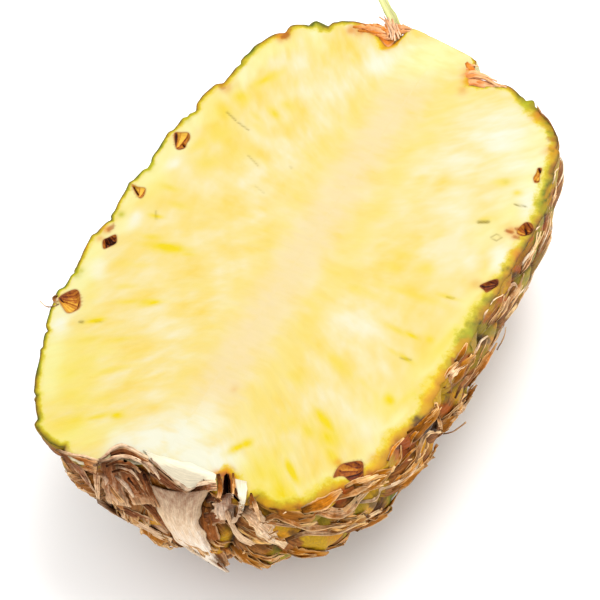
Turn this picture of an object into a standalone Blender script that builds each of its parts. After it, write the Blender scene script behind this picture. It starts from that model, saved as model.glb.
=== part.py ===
# Half of a pineapple without its crown of leaves, cut lengthwise and lying on its rind.
#
# Metres, +Z up. Y is the fruit's long axis and points to the crown end, X points to the
# fruit's right side, and the cut face is level and faces up. All shaping is done in the
# fruit's own frame, whose origin is the middle of the cut face. At the end the fruit is
# raised so that it stands on z = 0 with the origin under the middle of its bounding box.

import math
import random

import bmesh
import bpy
import numpy as np
from mathutils import Matrix, Vector
from mathutils.kdtree import KDTree

NAME = "half_pineapple"
SEED = 21

# Body, measured under the raised eyes
HALF_WIDTH = 0.0620
HALF_HEIGHT = 0.0608
HALF_LENGTH = 0.0879
CUT_ABOVE_AXIS = 0.0045  # the knife passed a little above the fruit's long axis
DEPTH = 0.0665  # from the cut face down to the resting spot
# Power of the outline at each shoulder: 2 is an ellipse, higher has fuller shoulders
CROWN_LEFT_POWER = 3.1
CROWN_RIGHT_POWER = 4.5
STEM_LEFT_POWER = 2.7
STEM_RIGHT_POWER = 3.9
END_SLANT = 0.108  # each end leans so that the left side is longer than the right

# Stub where the crown broke off, and the ring-shaped groove round it
STUB_RADIUS = 0.0150
STUB_LENGTH = 0.0065
STUB_GROOVE = 0.0032
GROOVE_WIDTH = 0.0034

# Hollow round the stem
HOLLOW_RADIUS = 0.0180
HOLLOW_DEPTH = 0.0080
HOLLOW_X = 0.0060
HOLLOW_Z = -0.0060

# Eyes of the rind, in 21 columns, each eye 8/21 of a turn round from the one before
TURN_PER_EYE = 2.0 * math.pi * 8.0 / 21.0
EYE_PITCH = 0.0225  # between the eyes of one column
RIGHT_COLUMN_ANGLE = math.radians(2.0)
FIRST_EYE_Y = 0.0125
COLUMN_DRIFT = 0.0064  # extra slip toward the stem from the right column to the left one
SMALLEST_RING = 0.0190  # no eyes nearer to the long axis than this

# Relief of one eye: a low dome between grooves, with a bract that rises to a beak
EYE_RISE = 0.0022
EYE_SHOULDER = 0.0048
BRACT_RISE = 0.0015
BRACT_HALF_WIDTH = 0.0052
BRACT_START = -0.0090
BRACT_PEAK = 0.0016
BRACT_END = 0.0050
BRACT_REACH = 0.0020  # how far the beak leans toward the crown
BRACT_LEAN_LENGTH = 0.0034
EYE_UNEVENNESS = 0.30

LEAF_THICKNESS = 0.0009

# Triangles
SPHERE_SUBDIVISIONS = 7
RIND_TRIANGLES = 9000

# Places in the fruit's own frame
EYE_CAVITIES = (
    # x, y on the cut face, width across, length along, depth, turn in degrees
    (-0.0586, 0.0260, 0.0062, 0.0070, 0.0050, 20.0),
    (-0.0604, 0.0043, 0.0056, 0.0062, 0.0036, -15.0),
    (-0.0585, -0.0171, 0.0052, 0.0056, 0.0060, 10.0),
    (-0.0582, -0.0421, 0.0082, 0.0078, 0.0052, 0.0),
    (0.0527, 0.0588, 0.0022, 0.0050, 0.0040, 15.0),
    (0.0574, 0.0378, 0.0078, 0.0046, 0.0046, 20.0),
    (0.0589, 0.0158, 0.0058, 0.0044, 0.0050, 35.0),
    (0.0536, -0.0593, 0.0068, 0.0104, 0.0052, -62.0),
)
STEM_POCKET = (0.0212, -0.0815, -0.0065)
STEM_POCKET_SIZE = (0.0062, 0.0080, 0.0100)

# The leaf at the crown reaches past the fruit, so the fruit's middle is off the origin
FRUIT_X = -0.0003
FRUIT_Y = -0.0077


def smooth_step(low, high, value):
    """0 below low, 1 above high, and a smooth rise between them."""
    share = np.clip((value - low) / (high - low), 0.0, 1.0)
    return share * share * (3.0 - 2.0 * share)


def bell(value, width):
    """A smooth bump that is 1 at zero and fades over the given width."""
    return np.exp(-((value / width) ** 2))


# The smooth body


def distance_from_axis(points):
    """Distance from the long axis, with heights stretched so that every ring is round."""
    height = (points[:, 2] + CUT_ABOVE_AXIS) * HALF_WIDTH / HALF_HEIGHT
    return np.hypot(points[:, 0], height)


def outline_power(across, points, along):
    """Power of the outline, blended between the four shoulders."""
    right = smooth_step(-1.0, 1.0, points[:, 0] / np.maximum(across, 1e-6))
    crown = smooth_step(-1.0, 1.0, along)
    at_stem = STEM_LEFT_POWER + (STEM_RIGHT_POWER - STEM_LEFT_POWER) * right
    at_crown = CROWN_LEFT_POWER + (CROWN_RIGHT_POWER - CROWN_LEFT_POWER) * right
    return at_stem + (at_crown - at_stem) * crown


def body_level(points):
    """Below 1 inside the smooth body, 1 on its surface and above 1 outside it."""
    across = distance_from_axis(points)
    along = points[:, 1] * (1.0 + END_SLANT * points[:, 0] / HALF_WIDTH) / HALF_LENGTH
    power = outline_power(across, points, along)
    return (across / HALF_WIDTH) ** power + np.abs(along) ** power


def on_body(directions):
    """The points where rays from the middle of the cut face leave the smooth body."""
    inside = np.zeros(len(directions))
    outside = np.full(len(directions), 2.0 * HALF_LENGTH)
    for _ in range(40):
        middle = 0.5 * (inside + outside)
        within = body_level(directions * middle[:, None]) < 1.0
        inside = np.where(within, middle, inside)
        outside = np.where(within, outside, middle)
    return directions * inside[:, None]


def body_normals(points):
    """Unit vectors that point straight out of the smooth body."""
    step = 1e-5
    slope = np.zeros_like(points)
    for axis in range(3):
        shift = np.zeros(3)
        shift[axis] = step
        slope[:, axis] = body_level(points + shift) - body_level(points - shift)
    return slope / np.linalg.norm(slope, axis=1)[:, None]


def end_forms(points):
    """How far the stub at the crown and the hollow at the stem move the ends along Y."""
    across = distance_from_axis(points)
    stub = STUB_LENGTH * (1.0 - smooth_step(STUB_RADIUS - 0.001, STUB_RADIUS + 0.001, across))
    groove = STUB_GROOVE * bell(across - STUB_RADIUS - GROOVE_WIDTH, GROOVE_WIDTH)
    to_hollow = np.hypot(points[:, 0] - HOLLOW_X, points[:, 2] - HOLLOW_Z)
    hollow = HOLLOW_DEPTH * bell(to_hollow, HOLLOW_RADIUS)
    at_crown = smooth_step(0.6 * HALF_LENGTH, 0.8 * HALF_LENGTH, points[:, 1])
    at_stem = smooth_step(0.6 * HALF_LENGTH, 0.8 * HALF_LENGTH, -points[:, 1])
    return at_crown * (stub - groove) + at_stem * hollow


# The eyes


def meridian(steps=4000):
    """Arc length from the middle, Y and distance from the axis, along one side."""
    power = 0.25 * (CROWN_LEFT_POWER + CROWN_RIGHT_POWER + STEM_LEFT_POWER + STEM_RIGHT_POWER)
    along = np.sin(np.linspace(-0.5 * math.pi, 0.5 * math.pi, steps))
    y = HALF_LENGTH * along
    radius = HALF_WIDTH * (1.0 - np.abs(along) ** power) ** (1.0 / power)
    arc = np.concatenate([[0.0], np.cumsum(np.hypot(np.diff(y), np.diff(radius)))])
    return arc - np.interp(0.0, y, arc), y, radius


def eye_places():
    """Angle round the axis and arc length of every eye, each with the same area."""
    arc, y, radius = meridian()
    eye_area = EYE_PITCH / 21.0 * 2.0 * math.pi * HALF_WIDTH
    places = []
    for way in (1, -1):
        place = FIRST_EYE_Y
        number = 0
        while np.interp(place, arc, radius) > SMALLEST_RING:
            if way == 1 or number != 0:
                places.append((number, place))
            place += way * eye_area / (2.0 * math.pi * np.interp(place, arc, radius))
            number += way
    return places, arc, y, radius


def eye_centres():
    """Centres of the eyes on the smooth body, as an array of points."""
    places, arc, y, radius = eye_places()
    centres = []
    for number, place in places:
        angle = RIGHT_COLUMN_ANGLE + number * TURN_PER_EYE
        angle = (angle + 1.5 * math.pi) % (2.0 * math.pi) - 1.5 * math.pi
        ring = np.interp(place, arc, radius)
        slip = COLUMN_DRIFT * (RIGHT_COLUMN_ANGLE - angle) / math.pi * ring / HALF_WIDTH
        ring = np.interp(place - slip, arc, radius)
        height = np.interp(place - slip, arc, y)
        below_cut = ring * math.sin(angle) * HALF_HEIGHT / HALF_WIDTH - CUT_ABOVE_AXIS
        centres.append((ring * math.cos(angle), height, below_cut))
    centres = np.array(centres)
    directions = centres / np.linalg.norm(centres, axis=1)[:, None]
    return on_body(directions)


def crownward(normals):
    """Unit vectors along the surface that run toward the crown."""
    axis = np.array([0.0, 1.0, 0.0])
    tangent = axis - normals * normals[:, 1:2]
    return tangent / np.maximum(np.linalg.norm(tangent, axis=1), 1e-6)[:, None]


def nearest_eyes(points, centres, count=3):
    """For each point, the numbers of its nearest eyes, closest first."""
    tree = KDTree(len(centres))
    for number, centre in enumerate(centres):
        tree.insert(centre, number)
    tree.balance()
    return np.array([[hit[1] for hit in tree.find_n(point, count)] for point in points])


def to_groove(points, centres, nearest):
    """Distance from each point to the edge of the eye that it is in."""
    own = centres[nearest[:, 0]]
    gap = np.full(len(points), np.inf)
    for rank in range(1, nearest.shape[1]):
        other = centres[nearest[:, rank]]
        span = other - own
        length = np.linalg.norm(span, axis=1)
        beyond = ((points - own) * span).sum(axis=1) / length
        gap = np.minimum(gap, 0.5 * length - beyond)
    return np.maximum(gap, 0.0)


def rind_relief(points):
    """How the eyes and their bracts move points of the smooth body."""
    rng = random.Random(SEED)
    centres = eye_centres()
    tallness = np.array([1.0 + rng.uniform(-EYE_UNEVENNESS, EYE_UNEVENNESS) for _ in centres])
    normals = body_normals(points)
    nearest = nearest_eyes(points, centres)
    owner = nearest[:, 0]
    gap = to_groove(points, centres, nearest)

    toward_crown = crownward(body_normals(centres))[owner]
    sideways = np.cross(toward_crown, normals)
    offset = points - centres[owner]
    along = (offset * toward_crown).sum(axis=1)
    aside = (offset * sideways).sum(axis=1)

    dome = EYE_RISE * (1.0 - (1.0 - np.minimum(gap / EYE_SHOULDER, 1.0)) ** 2)
    slope = smooth_step(BRACT_START, BRACT_PEAK, along)
    drop = 1.0 - smooth_step(BRACT_PEAK, BRACT_END, along)
    middle = bell(aside, BRACT_HALF_WIDTH)
    beak = BRACT_RISE * tallness[owner] * slope * drop * middle
    lean = BRACT_REACH * bell(along - 0.001, BRACT_LEAN_LENGTH) * middle

    across = distance_from_axis(points)
    fade = smooth_step(STUB_RADIUS, STUB_RADIUS + GROOVE_WIDTH, across)
    rise = (dome + beak) * fade
    return normals * rise[:, None] + toward_crown * (lean * fade)[:, None]


# Mesh building


def new_object(name, mesh, collection):
    obj = bpy.data.objects.new(name, mesh)
    collection.objects.link(obj)
    return obj


def apply_modifiers(obj):
    """Replace the object's mesh by the result of its modifiers."""
    evaluated = obj.evaluated_get(bpy.context.evaluated_depsgraph_get())
    old_mesh = obj.data
    obj.data = bpy.data.meshes.new_from_object(evaluated)
    obj.modifiers.clear()
    bpy.data.meshes.remove(old_mesh)


def fill_openings(mesh_editor):
    """Close every opening that a cut by a plane left."""
    rim = [edge for edge in mesh_editor.edges if edge.is_boundary]
    bmesh.ops.edgenet_fill(mesh_editor, edges=rim)


def fruit_body(collection):
    """The lower half of a sphere, pushed out to the fruit's form and closed by the cut."""
    sphere = bmesh.new()
    bmesh.ops.create_icosphere(sphere, subdivisions=SPHERE_SUBDIVISIONS, radius=1.0)
    bmesh.ops.bisect_plane(
        sphere,
        geom=sphere.verts[:] + sphere.edges[:] + sphere.faces[:],
        dist=1e-4,
        plane_co=(0.0, 0.0, 0.0),
        plane_no=(0.0, 0.0, 1.0),
        use_snap_center=True,
        clear_outer=True,
    )
    stretched = np.array([vert.co for vert in sphere.verts]) * (HALF_WIDTH, HALF_LENGTH, DEPTH)
    directions = stretched / np.linalg.norm(stretched, axis=1)[:, None]
    smooth = on_body(directions)
    shaped = smooth + rind_relief(smooth)
    shaped[:, 1] += end_forms(smooth)
    on_rim = np.array([vert.is_boundary for vert in sphere.verts])
    shaped[on_rim, 2] = 0.0
    for vert, place in zip(sphere.verts, shaped):
        vert.co = place
    fill_openings(sphere)
    bmesh.ops.recalc_face_normals(sphere, faces=sphere.faces)

    mesh = bpy.data.meshes.new(NAME)
    sphere.to_mesh(mesh)
    sphere.free()
    fruit = new_object(NAME, mesh, collection)
    thin_out(fruit)
    flatten_under(fruit)
    return fruit


def thin_out(fruit):
    """Keep triangles where the relief bends and drop them where it is even."""
    before = sum(len(face.vertices) - 2 for face in fruit.data.polygons)
    decimate = fruit.modifiers.new("fewer triangles", "DECIMATE")
    decimate.ratio = RIND_TRIANGLES / before
    decimate.use_collapse_triangulate = True
    apply_modifiers(fruit)


def flatten_under(fruit):
    """Cut the small flat spot that the half fruit lies on."""
    under = bmesh.new()
    under.from_mesh(fruit.data)
    bmesh.ops.bisect_plane(
        under,
        geom=under.verts[:] + under.edges[:] + under.faces[:],
        dist=1e-5,
        plane_co=(0.0, 0.0, -DEPTH),
        plane_no=(0.0, 0.0, -1.0),
        use_snap_center=True,
        clear_outer=True,
    )
    fill_openings(under)
    under.to_mesh(fruit.data)
    under.free()


# Thin leaves and bracts


def smooth_path(points, steps):
    """Points of a smooth curve through the given ones, evenly spread between them."""
    knots = [points[0] * 2.0 - points[1]] + points + [points[-1] * 2.0 - points[-2]]
    path = []
    for step in range(steps + 1):
        place = step / steps * (len(points) - 1)
        number = min(int(place), len(points) - 2)
        share = place - number
        before, start, end, after = knots[number : number + 4]
        path.append(
            start
            + (end - before) * (0.5 * share)
            + (before * 2.0 - start * 5.0 + end * 4.0 - after) * (0.5 * share**2)
            + (start * 3.0 - end * 3.0 + after - before) * (0.5 * share**3)
        )
    return path


def leaf_solid(name, spine, widths, side, collection, cup=0.0, wave=0.0, across_steps=4):
    """A thin wavy leaf along a spine. Widths are read evenly from its base to its tip."""
    path = smooth_path([Vector(point) for point in spine], 2 * (len(spine) - 1))
    leaf = bmesh.new()
    rows = []
    for number, place in enumerate(path):
        share = number / (len(path) - 1)
        width = float(np.interp(share, np.linspace(0.0, 1.0, len(widths)), widths))
        tangent = path[min(number + 1, len(path) - 1)] - path[max(number - 1, 0)]
        across = Vector(side) - tangent * (Vector(side).dot(tangent) / tangent.length_squared)
        across.normalize()
        outward = tangent.normalized().cross(across)
        row = []
        for column in range(across_steps + 1):
            aside = column / across_steps - 0.5
            lift = cup * width * (4.0 * aside * aside) + wave * math.sin(9.0 * share + 7.0 * aside)
            row.append(leaf.verts.new(place + across * (aside * width) + outward * lift))
        rows.append(row)
    for near, far in zip(rows, rows[1:]):
        for column in range(across_steps):
            corner = (near[column], near[column + 1], far[column + 1], far[column])
            leaf.faces.new((corner[0], corner[1], corner[2]))
            leaf.faces.new((corner[0], corner[2], corner[3]))
    mesh = bpy.data.meshes.new(name)
    leaf.to_mesh(mesh)
    leaf.free()
    blade = new_object(name, mesh, collection)
    solidify = blade.modifiers.new("leaf thickness", "SOLIDIFY")
    solidify.thickness = LEAF_THICKNESS
    solidify.offset = 0.0
    apply_modifiers(blade)
    return blade


def stem_leaves(collection):
    """The torn papery flap that hangs at the stem, and a narrow bract beside it."""
    flap = [
        (0.0100, -0.0770, -0.0030),
        (0.0095, -0.0858, -0.0050),
        (0.0088, -0.0880, -0.0115),
        (0.0090, -0.0886, -0.0190),
        (0.0130, -0.0893, -0.0245),
        (0.0182, -0.0900, -0.0275),
        (0.0232, -0.0908, -0.0290),
    ]
    flap_widths = (0.0260, 0.0245, 0.0200, 0.0150, 0.0100, 0.0052, 0.0008)
    leaf_solid("flap", flap, flap_widths, (1.0, 0.0, 0.0), collection, 0.12, 0.0006)
    strip = [
        (0.0235, -0.0760, -0.0040),
        (0.0245, -0.0850, -0.0080),
        (0.0262, -0.0862, -0.0170),
        (0.0305, -0.0850, -0.0240),
        (0.0330, -0.0790, -0.0270),
    ]
    leaf_solid("strip", strip, (0.0040, 0.0036, 0.0032, 0.0030), (1.0, 0.0, 0.0), collection, 0.1)


def crown_leaves(collection):
    """Broken leaf bases left round the stub, and one thin leaf that still stands out."""
    right_base = [
        (0.0090, 0.0790, -0.0030),
        (0.0145, 0.0860, -0.0012),
        (0.0205, 0.0886, -0.0004),
        (0.0265, 0.0884, -0.0002),
    ]
    leaf_solid("right base", right_base, (0.0060, 0.0048, 0.0034, 0.0006), (0.3, -1.0, 0.0), collection)
    left_base = [
        (-0.0080, 0.0850, -0.0030),
        (-0.0160, 0.0930, -0.0012),
        (-0.0235, 0.0950, -0.0006),
        (-0.0300, 0.0930, -0.0004),
    ]
    leaf_solid("left base", left_base, (0.0070, 0.0060, 0.0044, 0.0008), (0.3, 1.0, 0.0), collection)
    sliver = [
        (-0.0130, 0.0860, -0.0040),
        (-0.0180, 0.0945, -0.0016),
        (-0.0238, 0.0994, 0.0000),
        (-0.0290, 0.1035, 0.0008),
        (-0.0330, 0.1070, 0.0010),
    ]
    leaf_solid("sliver", sliver, (0.0040, 0.0034, 0.0030, 0.0026, 0.0006), (1.0, 0.6, 0.0), collection)


def loose_bracts(collection):
    """Dry bract tips that stand away from some eyes of the right side, under the cut."""
    centres = eye_centres()
    normals = body_normals(centres)
    tangents = crownward(normals)
    for number, (centre, normal, tangent) in enumerate(zip(centres, normals, tangents)):
        shows = centre[0] > 0.03 and centre[1] < 0.03 and -0.045 < centre[2] < -0.006
        if not shows or number % 2:
            continue
        out = Vector(normal)
        crown = Vector(tangent)
        base = Vector(centre)
        spine = [
            base - crown * 0.0040 + out * 0.0002,
            base + crown * 0.0010 + out * 0.0030,
            base + crown * 0.0060 + out * 0.0035,
            base + crown * 0.0100 + out * 0.0033,
        ]
        widths = (0.0074, 0.0072, 0.0050, 0.0008)
        leaf_solid("bract", spine, widths, crown.cross(out), collection, -0.12, 0.0, 2)


# Cutters


def cavity_cutter(number, collection):
    """A blunt double cone, pointed at the rind, that hollows one eye where it is cut."""
    x, y, width, length, depth, turn = EYE_CAVITIES[number]
    hollow = bmesh.new()
    bmesh.ops.create_icosphere(hollow, subdivisions=1, radius=0.5)
    place = Matrix.Translation((x, y, 0.0)) @ Matrix.Rotation(math.radians(turn), 4, "Z")
    size = Matrix.Diagonal((width, length, 2.0 * depth, 1.0))
    bmesh.ops.transform(hollow, matrix=place @ size, verts=hollow.verts)
    mesh = bpy.data.meshes.new(f"cavity_{number}")
    hollow.to_mesh(mesh)
    hollow.free()
    return new_object(mesh.name, mesh, collection)


def pocket_cutter(collection):
    """The dark pocket beside the stem."""
    hollow = bmesh.new()
    bmesh.ops.create_icosphere(hollow, subdivisions=2, radius=1.0)
    size = Matrix.Diagonal((*STEM_POCKET_SIZE, 1.0))
    bmesh.ops.transform(hollow, matrix=Matrix.Translation(STEM_POCKET) @ size, verts=hollow.verts)
    mesh = bpy.data.meshes.new("stem_pocket")
    hollow.to_mesh(mesh)
    hollow.free()
    return new_object(mesh.name, mesh, collection)


def combine(fruit, collection, operation):
    """Join to the fruit, or cut from it, everything in a collection, then remove it."""
    boolean = fruit.modifiers.new(operation.lower(), "BOOLEAN")
    boolean.operation = operation
    boolean.operand_type = "COLLECTION"
    boolean.collection = collection
    boolean.solver = "MANIFOLD"
    apply_modifiers(fruit)
    for obj in list(collection.objects):
        bpy.data.objects.remove(obj)
    bpy.data.collections.remove(collection)


# Materials


def material(name, colour, roughness):
    made = bpy.data.materials.new(name)
    made.use_nodes = True
    shader = made.node_tree.nodes["Principled BSDF"]
    shader.inputs["Base Color"].default_value = (*colour, 1.0)
    shader.inputs["Roughness"].default_value = roughness
    shader.inputs["Metallic"].default_value = 0.0
    return made


def colour_fruit(fruit):
    """Flesh on the level cut face and in its hollows, rind everywhere else."""
    fruit.data.materials.clear()
    fruit.data.materials.append(material("pineapple rind", (0.28, 0.16, 0.06), 0.6))
    fruit.data.materials.append(material("pineapple flesh", (0.93, 0.78, 0.30), 0.35))
    inside = 0.85
    for face in fruit.data.polygons:
        on_cut = face.center.z > -1e-5 and face.normal.z > 0.99
        deep = body_level(np.array([face.center]))[0] < inside and face.center.z > -0.007
        face.material_index = 1 if on_cut or deep else 0


def shade(fruit):
    fruit.data.shade_smooth()
    fruit.data.set_sharp_from_angle(angle=math.radians(40.0))


def main():
    for obj in list(bpy.data.objects):
        bpy.data.objects.remove(obj)
    parts = bpy.data.collections.new(NAME)
    cutters = bpy.data.collections.new("cutters")
    leaves = bpy.data.collections.new("leaves")
    for collection in (parts, cutters, leaves):
        bpy.context.scene.collection.children.link(collection)

    fruit = fruit_body(parts)
    for number in range(len(EYE_CAVITIES)):
        cavity_cutter(number, cutters)
    pocket_cutter(cutters)
    combine(fruit, cutters, "DIFFERENCE")
    stem_leaves(leaves)
    crown_leaves(leaves)
    loose_bracts(leaves)
    combine(fruit, leaves, "UNION")

    colour_fruit(fruit)
    fruit.data.transform(Matrix.Translation((FRUIT_X, FRUIT_Y, DEPTH)))
    shade(fruit)


main()
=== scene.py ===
# Looks of half a fresh pineapple, cut lengthwise and lying on its rind.
#
# Shapes are made in millimetres in the fruit's own frame: X to its right side, Y toward the
# crown, Z up, with the origin in the middle of the cut face. makePiece turns them to metres.

import math
import random

import bmesh
import bpy
import numpy as np
from mathutils import Matrix, Vector, noise
from mathutils.bvhtree import BVHTree
from mathutils.geometry import delaunay_2d_cdt
from mathutils.kdtree import KDTree


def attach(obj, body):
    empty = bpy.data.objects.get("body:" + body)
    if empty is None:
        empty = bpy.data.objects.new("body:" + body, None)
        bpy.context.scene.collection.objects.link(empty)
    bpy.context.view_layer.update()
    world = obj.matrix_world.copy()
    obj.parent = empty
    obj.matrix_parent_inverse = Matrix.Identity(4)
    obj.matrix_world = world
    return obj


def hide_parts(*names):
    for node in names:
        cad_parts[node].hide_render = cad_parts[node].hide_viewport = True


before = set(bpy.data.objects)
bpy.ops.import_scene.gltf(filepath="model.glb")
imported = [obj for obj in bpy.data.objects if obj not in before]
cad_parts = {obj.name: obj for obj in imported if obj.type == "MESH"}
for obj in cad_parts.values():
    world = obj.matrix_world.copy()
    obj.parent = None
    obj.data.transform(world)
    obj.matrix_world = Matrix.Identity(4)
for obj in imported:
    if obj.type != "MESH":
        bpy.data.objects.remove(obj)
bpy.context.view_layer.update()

nodeName = "half_pineapple"
mm = 0.001
fruitPlace = np.array((-0.0003, -0.0077, 0.0665))  # middle of the cut face in the frame


# The photo's camera, in the fruit's frame

view = {
    "place": (418.9, -447.9, 790.0),
    "right": (0.8493, 0.5015, -0.1646),
    "up": (-0.3274, 0.7452, 0.5809),
    "lens": 195.2,
    "sensor": 36.0,
    "frameSize": 600.0,  # pixels of the photo
}


# Small helpers

def smoothStep(low, high, value):
    share = np.clip((value - low) / (high - low), 0.0, 1.0)
    return share * share * (3.0 - 2.0 * share)


def bell(value, width):
    return np.exp(-((value / width) ** 2))


def seenAt(points):
    # The place on the plane of the cut face that each point covers in the photo
    camera = np.array(view["place"])
    share = camera[2] / (camera[2] - points[:, 2])
    return camera[:2] + (points[:, :2] - camera[:2]) * share[:, None]


def softNoise(points, size, shift=0.0):
    # From -1 to 1, with bumps about as far apart as size
    return np.array([noise.noise(place) for place in (np.asarray(points) / size + shift).tolist()])


def unit(vectors):
    return vectors / np.maximum(np.linalg.norm(vectors, axis=-1, keepdims=True), 1e-9)


def hexColour(text):
    # sRGB hex to the linear values that shaders take
    values = [int(text[start:start + 2], 16) / 255.0 for start in (1, 3, 5)]
    linear = [v / 12.92 if v <= 0.04045 else ((v + 0.055) / 1.055) ** 2.4 for v in values]
    return (*linear, 1.0)


def curvePoint(before, start, end, after, share):
    # A point between start and end on the smooth curve through all four
    return (
        start
        + (end - before) * (0.5 * share)
        + (before * 2.0 - start * 5.0 + end * 4.0 - after) * (0.5 * share ** 2)
        + (start * 3.0 - end * 3.0 + after - before) * (0.5 * share ** 3)
    )


# Settings that many nodes share
multiply = {"operation": "MULTIPLY"}
multiplyAdd = {"operation": "MULTIPLY_ADD"}
colourMix = {"data_type": "RGBA"}


def setInputs(tree, node, inputs):
    # Each takes a number, a colour or another node's output
    for name, value in inputs.items():
        if isinstance(value, bpy.types.NodeSocket):
            tree.links.new(value, node.inputs[name])
        else:
            node.inputs[name].default_value = value


def addNode(tree, kind, inputs, settings=None, stops=(), output=0):
    # Adds a node with its links and settings, and hands back one of its outputs. Stops are the
    # places and colours of a ramp.
    node = tree.nodes.new("ShaderNode" + kind)
    for name, value in (settings or {}).items():
        setattr(node, name, value)
    setInputs(tree, node, inputs)
    for number, (place, colour) in enumerate(stops):
        ends = node.color_ramp.elements
        stop = ends[number] if number < 2 else ends.new(place)
        stop.position = place
        stop.color = hexColour(colour)
    return node.outputs[output]


def newMaterial(name):
    made = bpy.data.materials.new(name)
    made.use_nodes = True
    tree = made.node_tree
    tree.nodes.clear()
    shader = tree.nodes.new("ShaderNodeBsdfPrincipled")
    surface = tree.nodes.new("ShaderNodeOutputMaterial").inputs["Surface"]
    tree.links.new(shader.outputs[0], surface)
    return made, tree, shader


def makePiece(name, vertices, faces, material, masks=None):
    mesh = bpy.data.meshes.new(name)
    mesh.from_pydata((np.asarray(vertices) * mm + fruitPlace).tolist(), [], faces)
    for mask, values in (masks or {}).items():
        values = np.asarray(values, np.float32)
        kind, field = ("FLOAT", "value") if values.ndim == 1 else ("FLOAT_VECTOR", "vector")
        mesh.attributes.new(mask, kind, "POINT").data.foreach_set(field, values.ravel())
    mesh.materials.append(material)
    mesh.shade_smooth()
    piece = bpy.data.objects.new(name, mesh)
    bpy.context.scene.collection.objects.link(piece)
    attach(piece, "root")
    print(f"{name}: {len(mesh.vertices)} points, {len(mesh.polygons)} faces")
    return piece


def thicken(piece, thickness):
    # Gives a sheet its real thickness, to both sides
    solidify = piece.modifiers.new("thickness", "SOLIDIFY")
    solidify.thickness = thickness * mm
    solidify.offset = 0.0
    evaluated = piece.evaluated_get(bpy.context.evaluated_depsgraph_get())
    old = piece.data
    piece.data = bpy.data.meshes.new_from_object(evaluated)
    piece.modifiers.clear()
    bpy.data.meshes.remove(old)


# The smooth body and the eyes, the same as in the solid model

body = {
    "halfWidth": 62.0,
    "halfHeight": 60.8,
    "halfLength": 87.9,
    "cutAboveAxis": 4.5,  # the knife passed a little above the fruit's long axis
    "depth": 66.5,
    "stemPowers": (2.7, 3.9),  # of the left and right shoulder: 2 is an ellipse
    "crownPowers": (3.1, 4.5),
    "endSlant": 0.108,
}
stub = {"radius": 15.0, "length": 6.5, "groove": 3.2, "grooveWidth": 3.4}
stemHollow = {"radius": 18.0, "depth": 8.0, "x": 6.0, "z": -6.0}
stemPocket = {"place": (24.0, -81.5, -5.0), "size": (1.9, 7.2, 10.0), "lean": -0.59}
eyes = {
    "seed": 21,
    "columns": 21,
    "columnsPerEye": 8,  # each eye is 8/21 of a turn round from the one before
    "pitch": 22.5,
    "rightColumn": 2.0,  # degrees
    "firstY": 12.5,
    "drift": 6.4,
    "smallestRing": 19.0,
    "rise": 2.2,
    "shoulder": 4.8,
    "unevenness": 0.30,
    "calm": 0.65,  # share of the relief that the right side lacks toward the crown
    "calmAcross": (20.0, 45.0),  # X over which that sets in
    "calmAlong": (-10.0, 10.0, 62.0, 72.0),  # and Y over which it sets in and ends
}
ridge = {"rise": 1.5, "halfWidth": 5.2, "start": -9.0, "peak": 1.6, "end": 5.0, "reach": 2.0, "lean": 3.4}


def fromAxis(points):
    height = (points[:, 2] + body["cutAboveAxis"]) * body["halfWidth"] / body["halfHeight"]
    return np.hypot(points[:, 0], height)


def bodyLevel(points):
    # Below 1 inside the smooth body, 1 on its surface
    across = fromAxis(points)
    slant = 1.0 + body["endSlant"] * points[:, 0] / body["halfWidth"]
    along = points[:, 1] * slant / body["halfLength"]
    right = smoothStep(-1.0, 1.0, points[:, 0] / np.maximum(across, 1e-3))
    crown = smoothStep(-1.0, 1.0, along)
    atStem = body["stemPowers"][0] + (body["stemPowers"][1] - body["stemPowers"][0]) * right
    atCrown = body["crownPowers"][0] + (body["crownPowers"][1] - body["crownPowers"][0]) * right
    power = atStem + (atCrown - atStem) * crown
    return (across / body["halfWidth"]) ** power + np.abs(along) ** power


def onBody(directions):
    # Where rays from the middle of the cut face leave the smooth body
    inside = np.zeros(len(directions))
    outside = np.full(len(directions), 2.0 * body["halfLength"])
    for _ in range(40):
        middle = 0.5 * (inside + outside)
        within = bodyLevel(directions * middle[:, None]) < 1.0
        inside = np.where(within, middle, inside)
        outside = np.where(within, outside, middle)
    return directions * inside[:, None]


def bodyNormals(points):
    slope = np.zeros_like(points)
    for axis in range(3):
        shift = np.zeros(3)
        shift[axis] = 0.01
        slope[:, axis] = bodyLevel(points + shift) - bodyLevel(points - shift)
    return unit(slope)


def endForms(points):
    # How far the stub at the crown and the hollow at the stem move the ends along Y
    across = fromAxis(points)
    raised = stub["length"] * (1.0 - smoothStep(stub["radius"] - 1.0, stub["radius"] + 1.0, across))
    ring = stub["groove"] * bell(across - stub["radius"] - stub["grooveWidth"], stub["grooveWidth"])
    toHollow = np.hypot(points[:, 0] - stemHollow["x"], points[:, 2] - stemHollow["z"])
    hollow = stemHollow["depth"] * bell(toHollow, stemHollow["radius"])
    near, far = 0.6 * body["halfLength"], 0.8 * body["halfLength"]
    atCrown = smoothStep(near, far, points[:, 1])
    atStem = smoothStep(near, far, -points[:, 1])
    return atCrown * (raised - ring) + atStem * hollow


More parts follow.
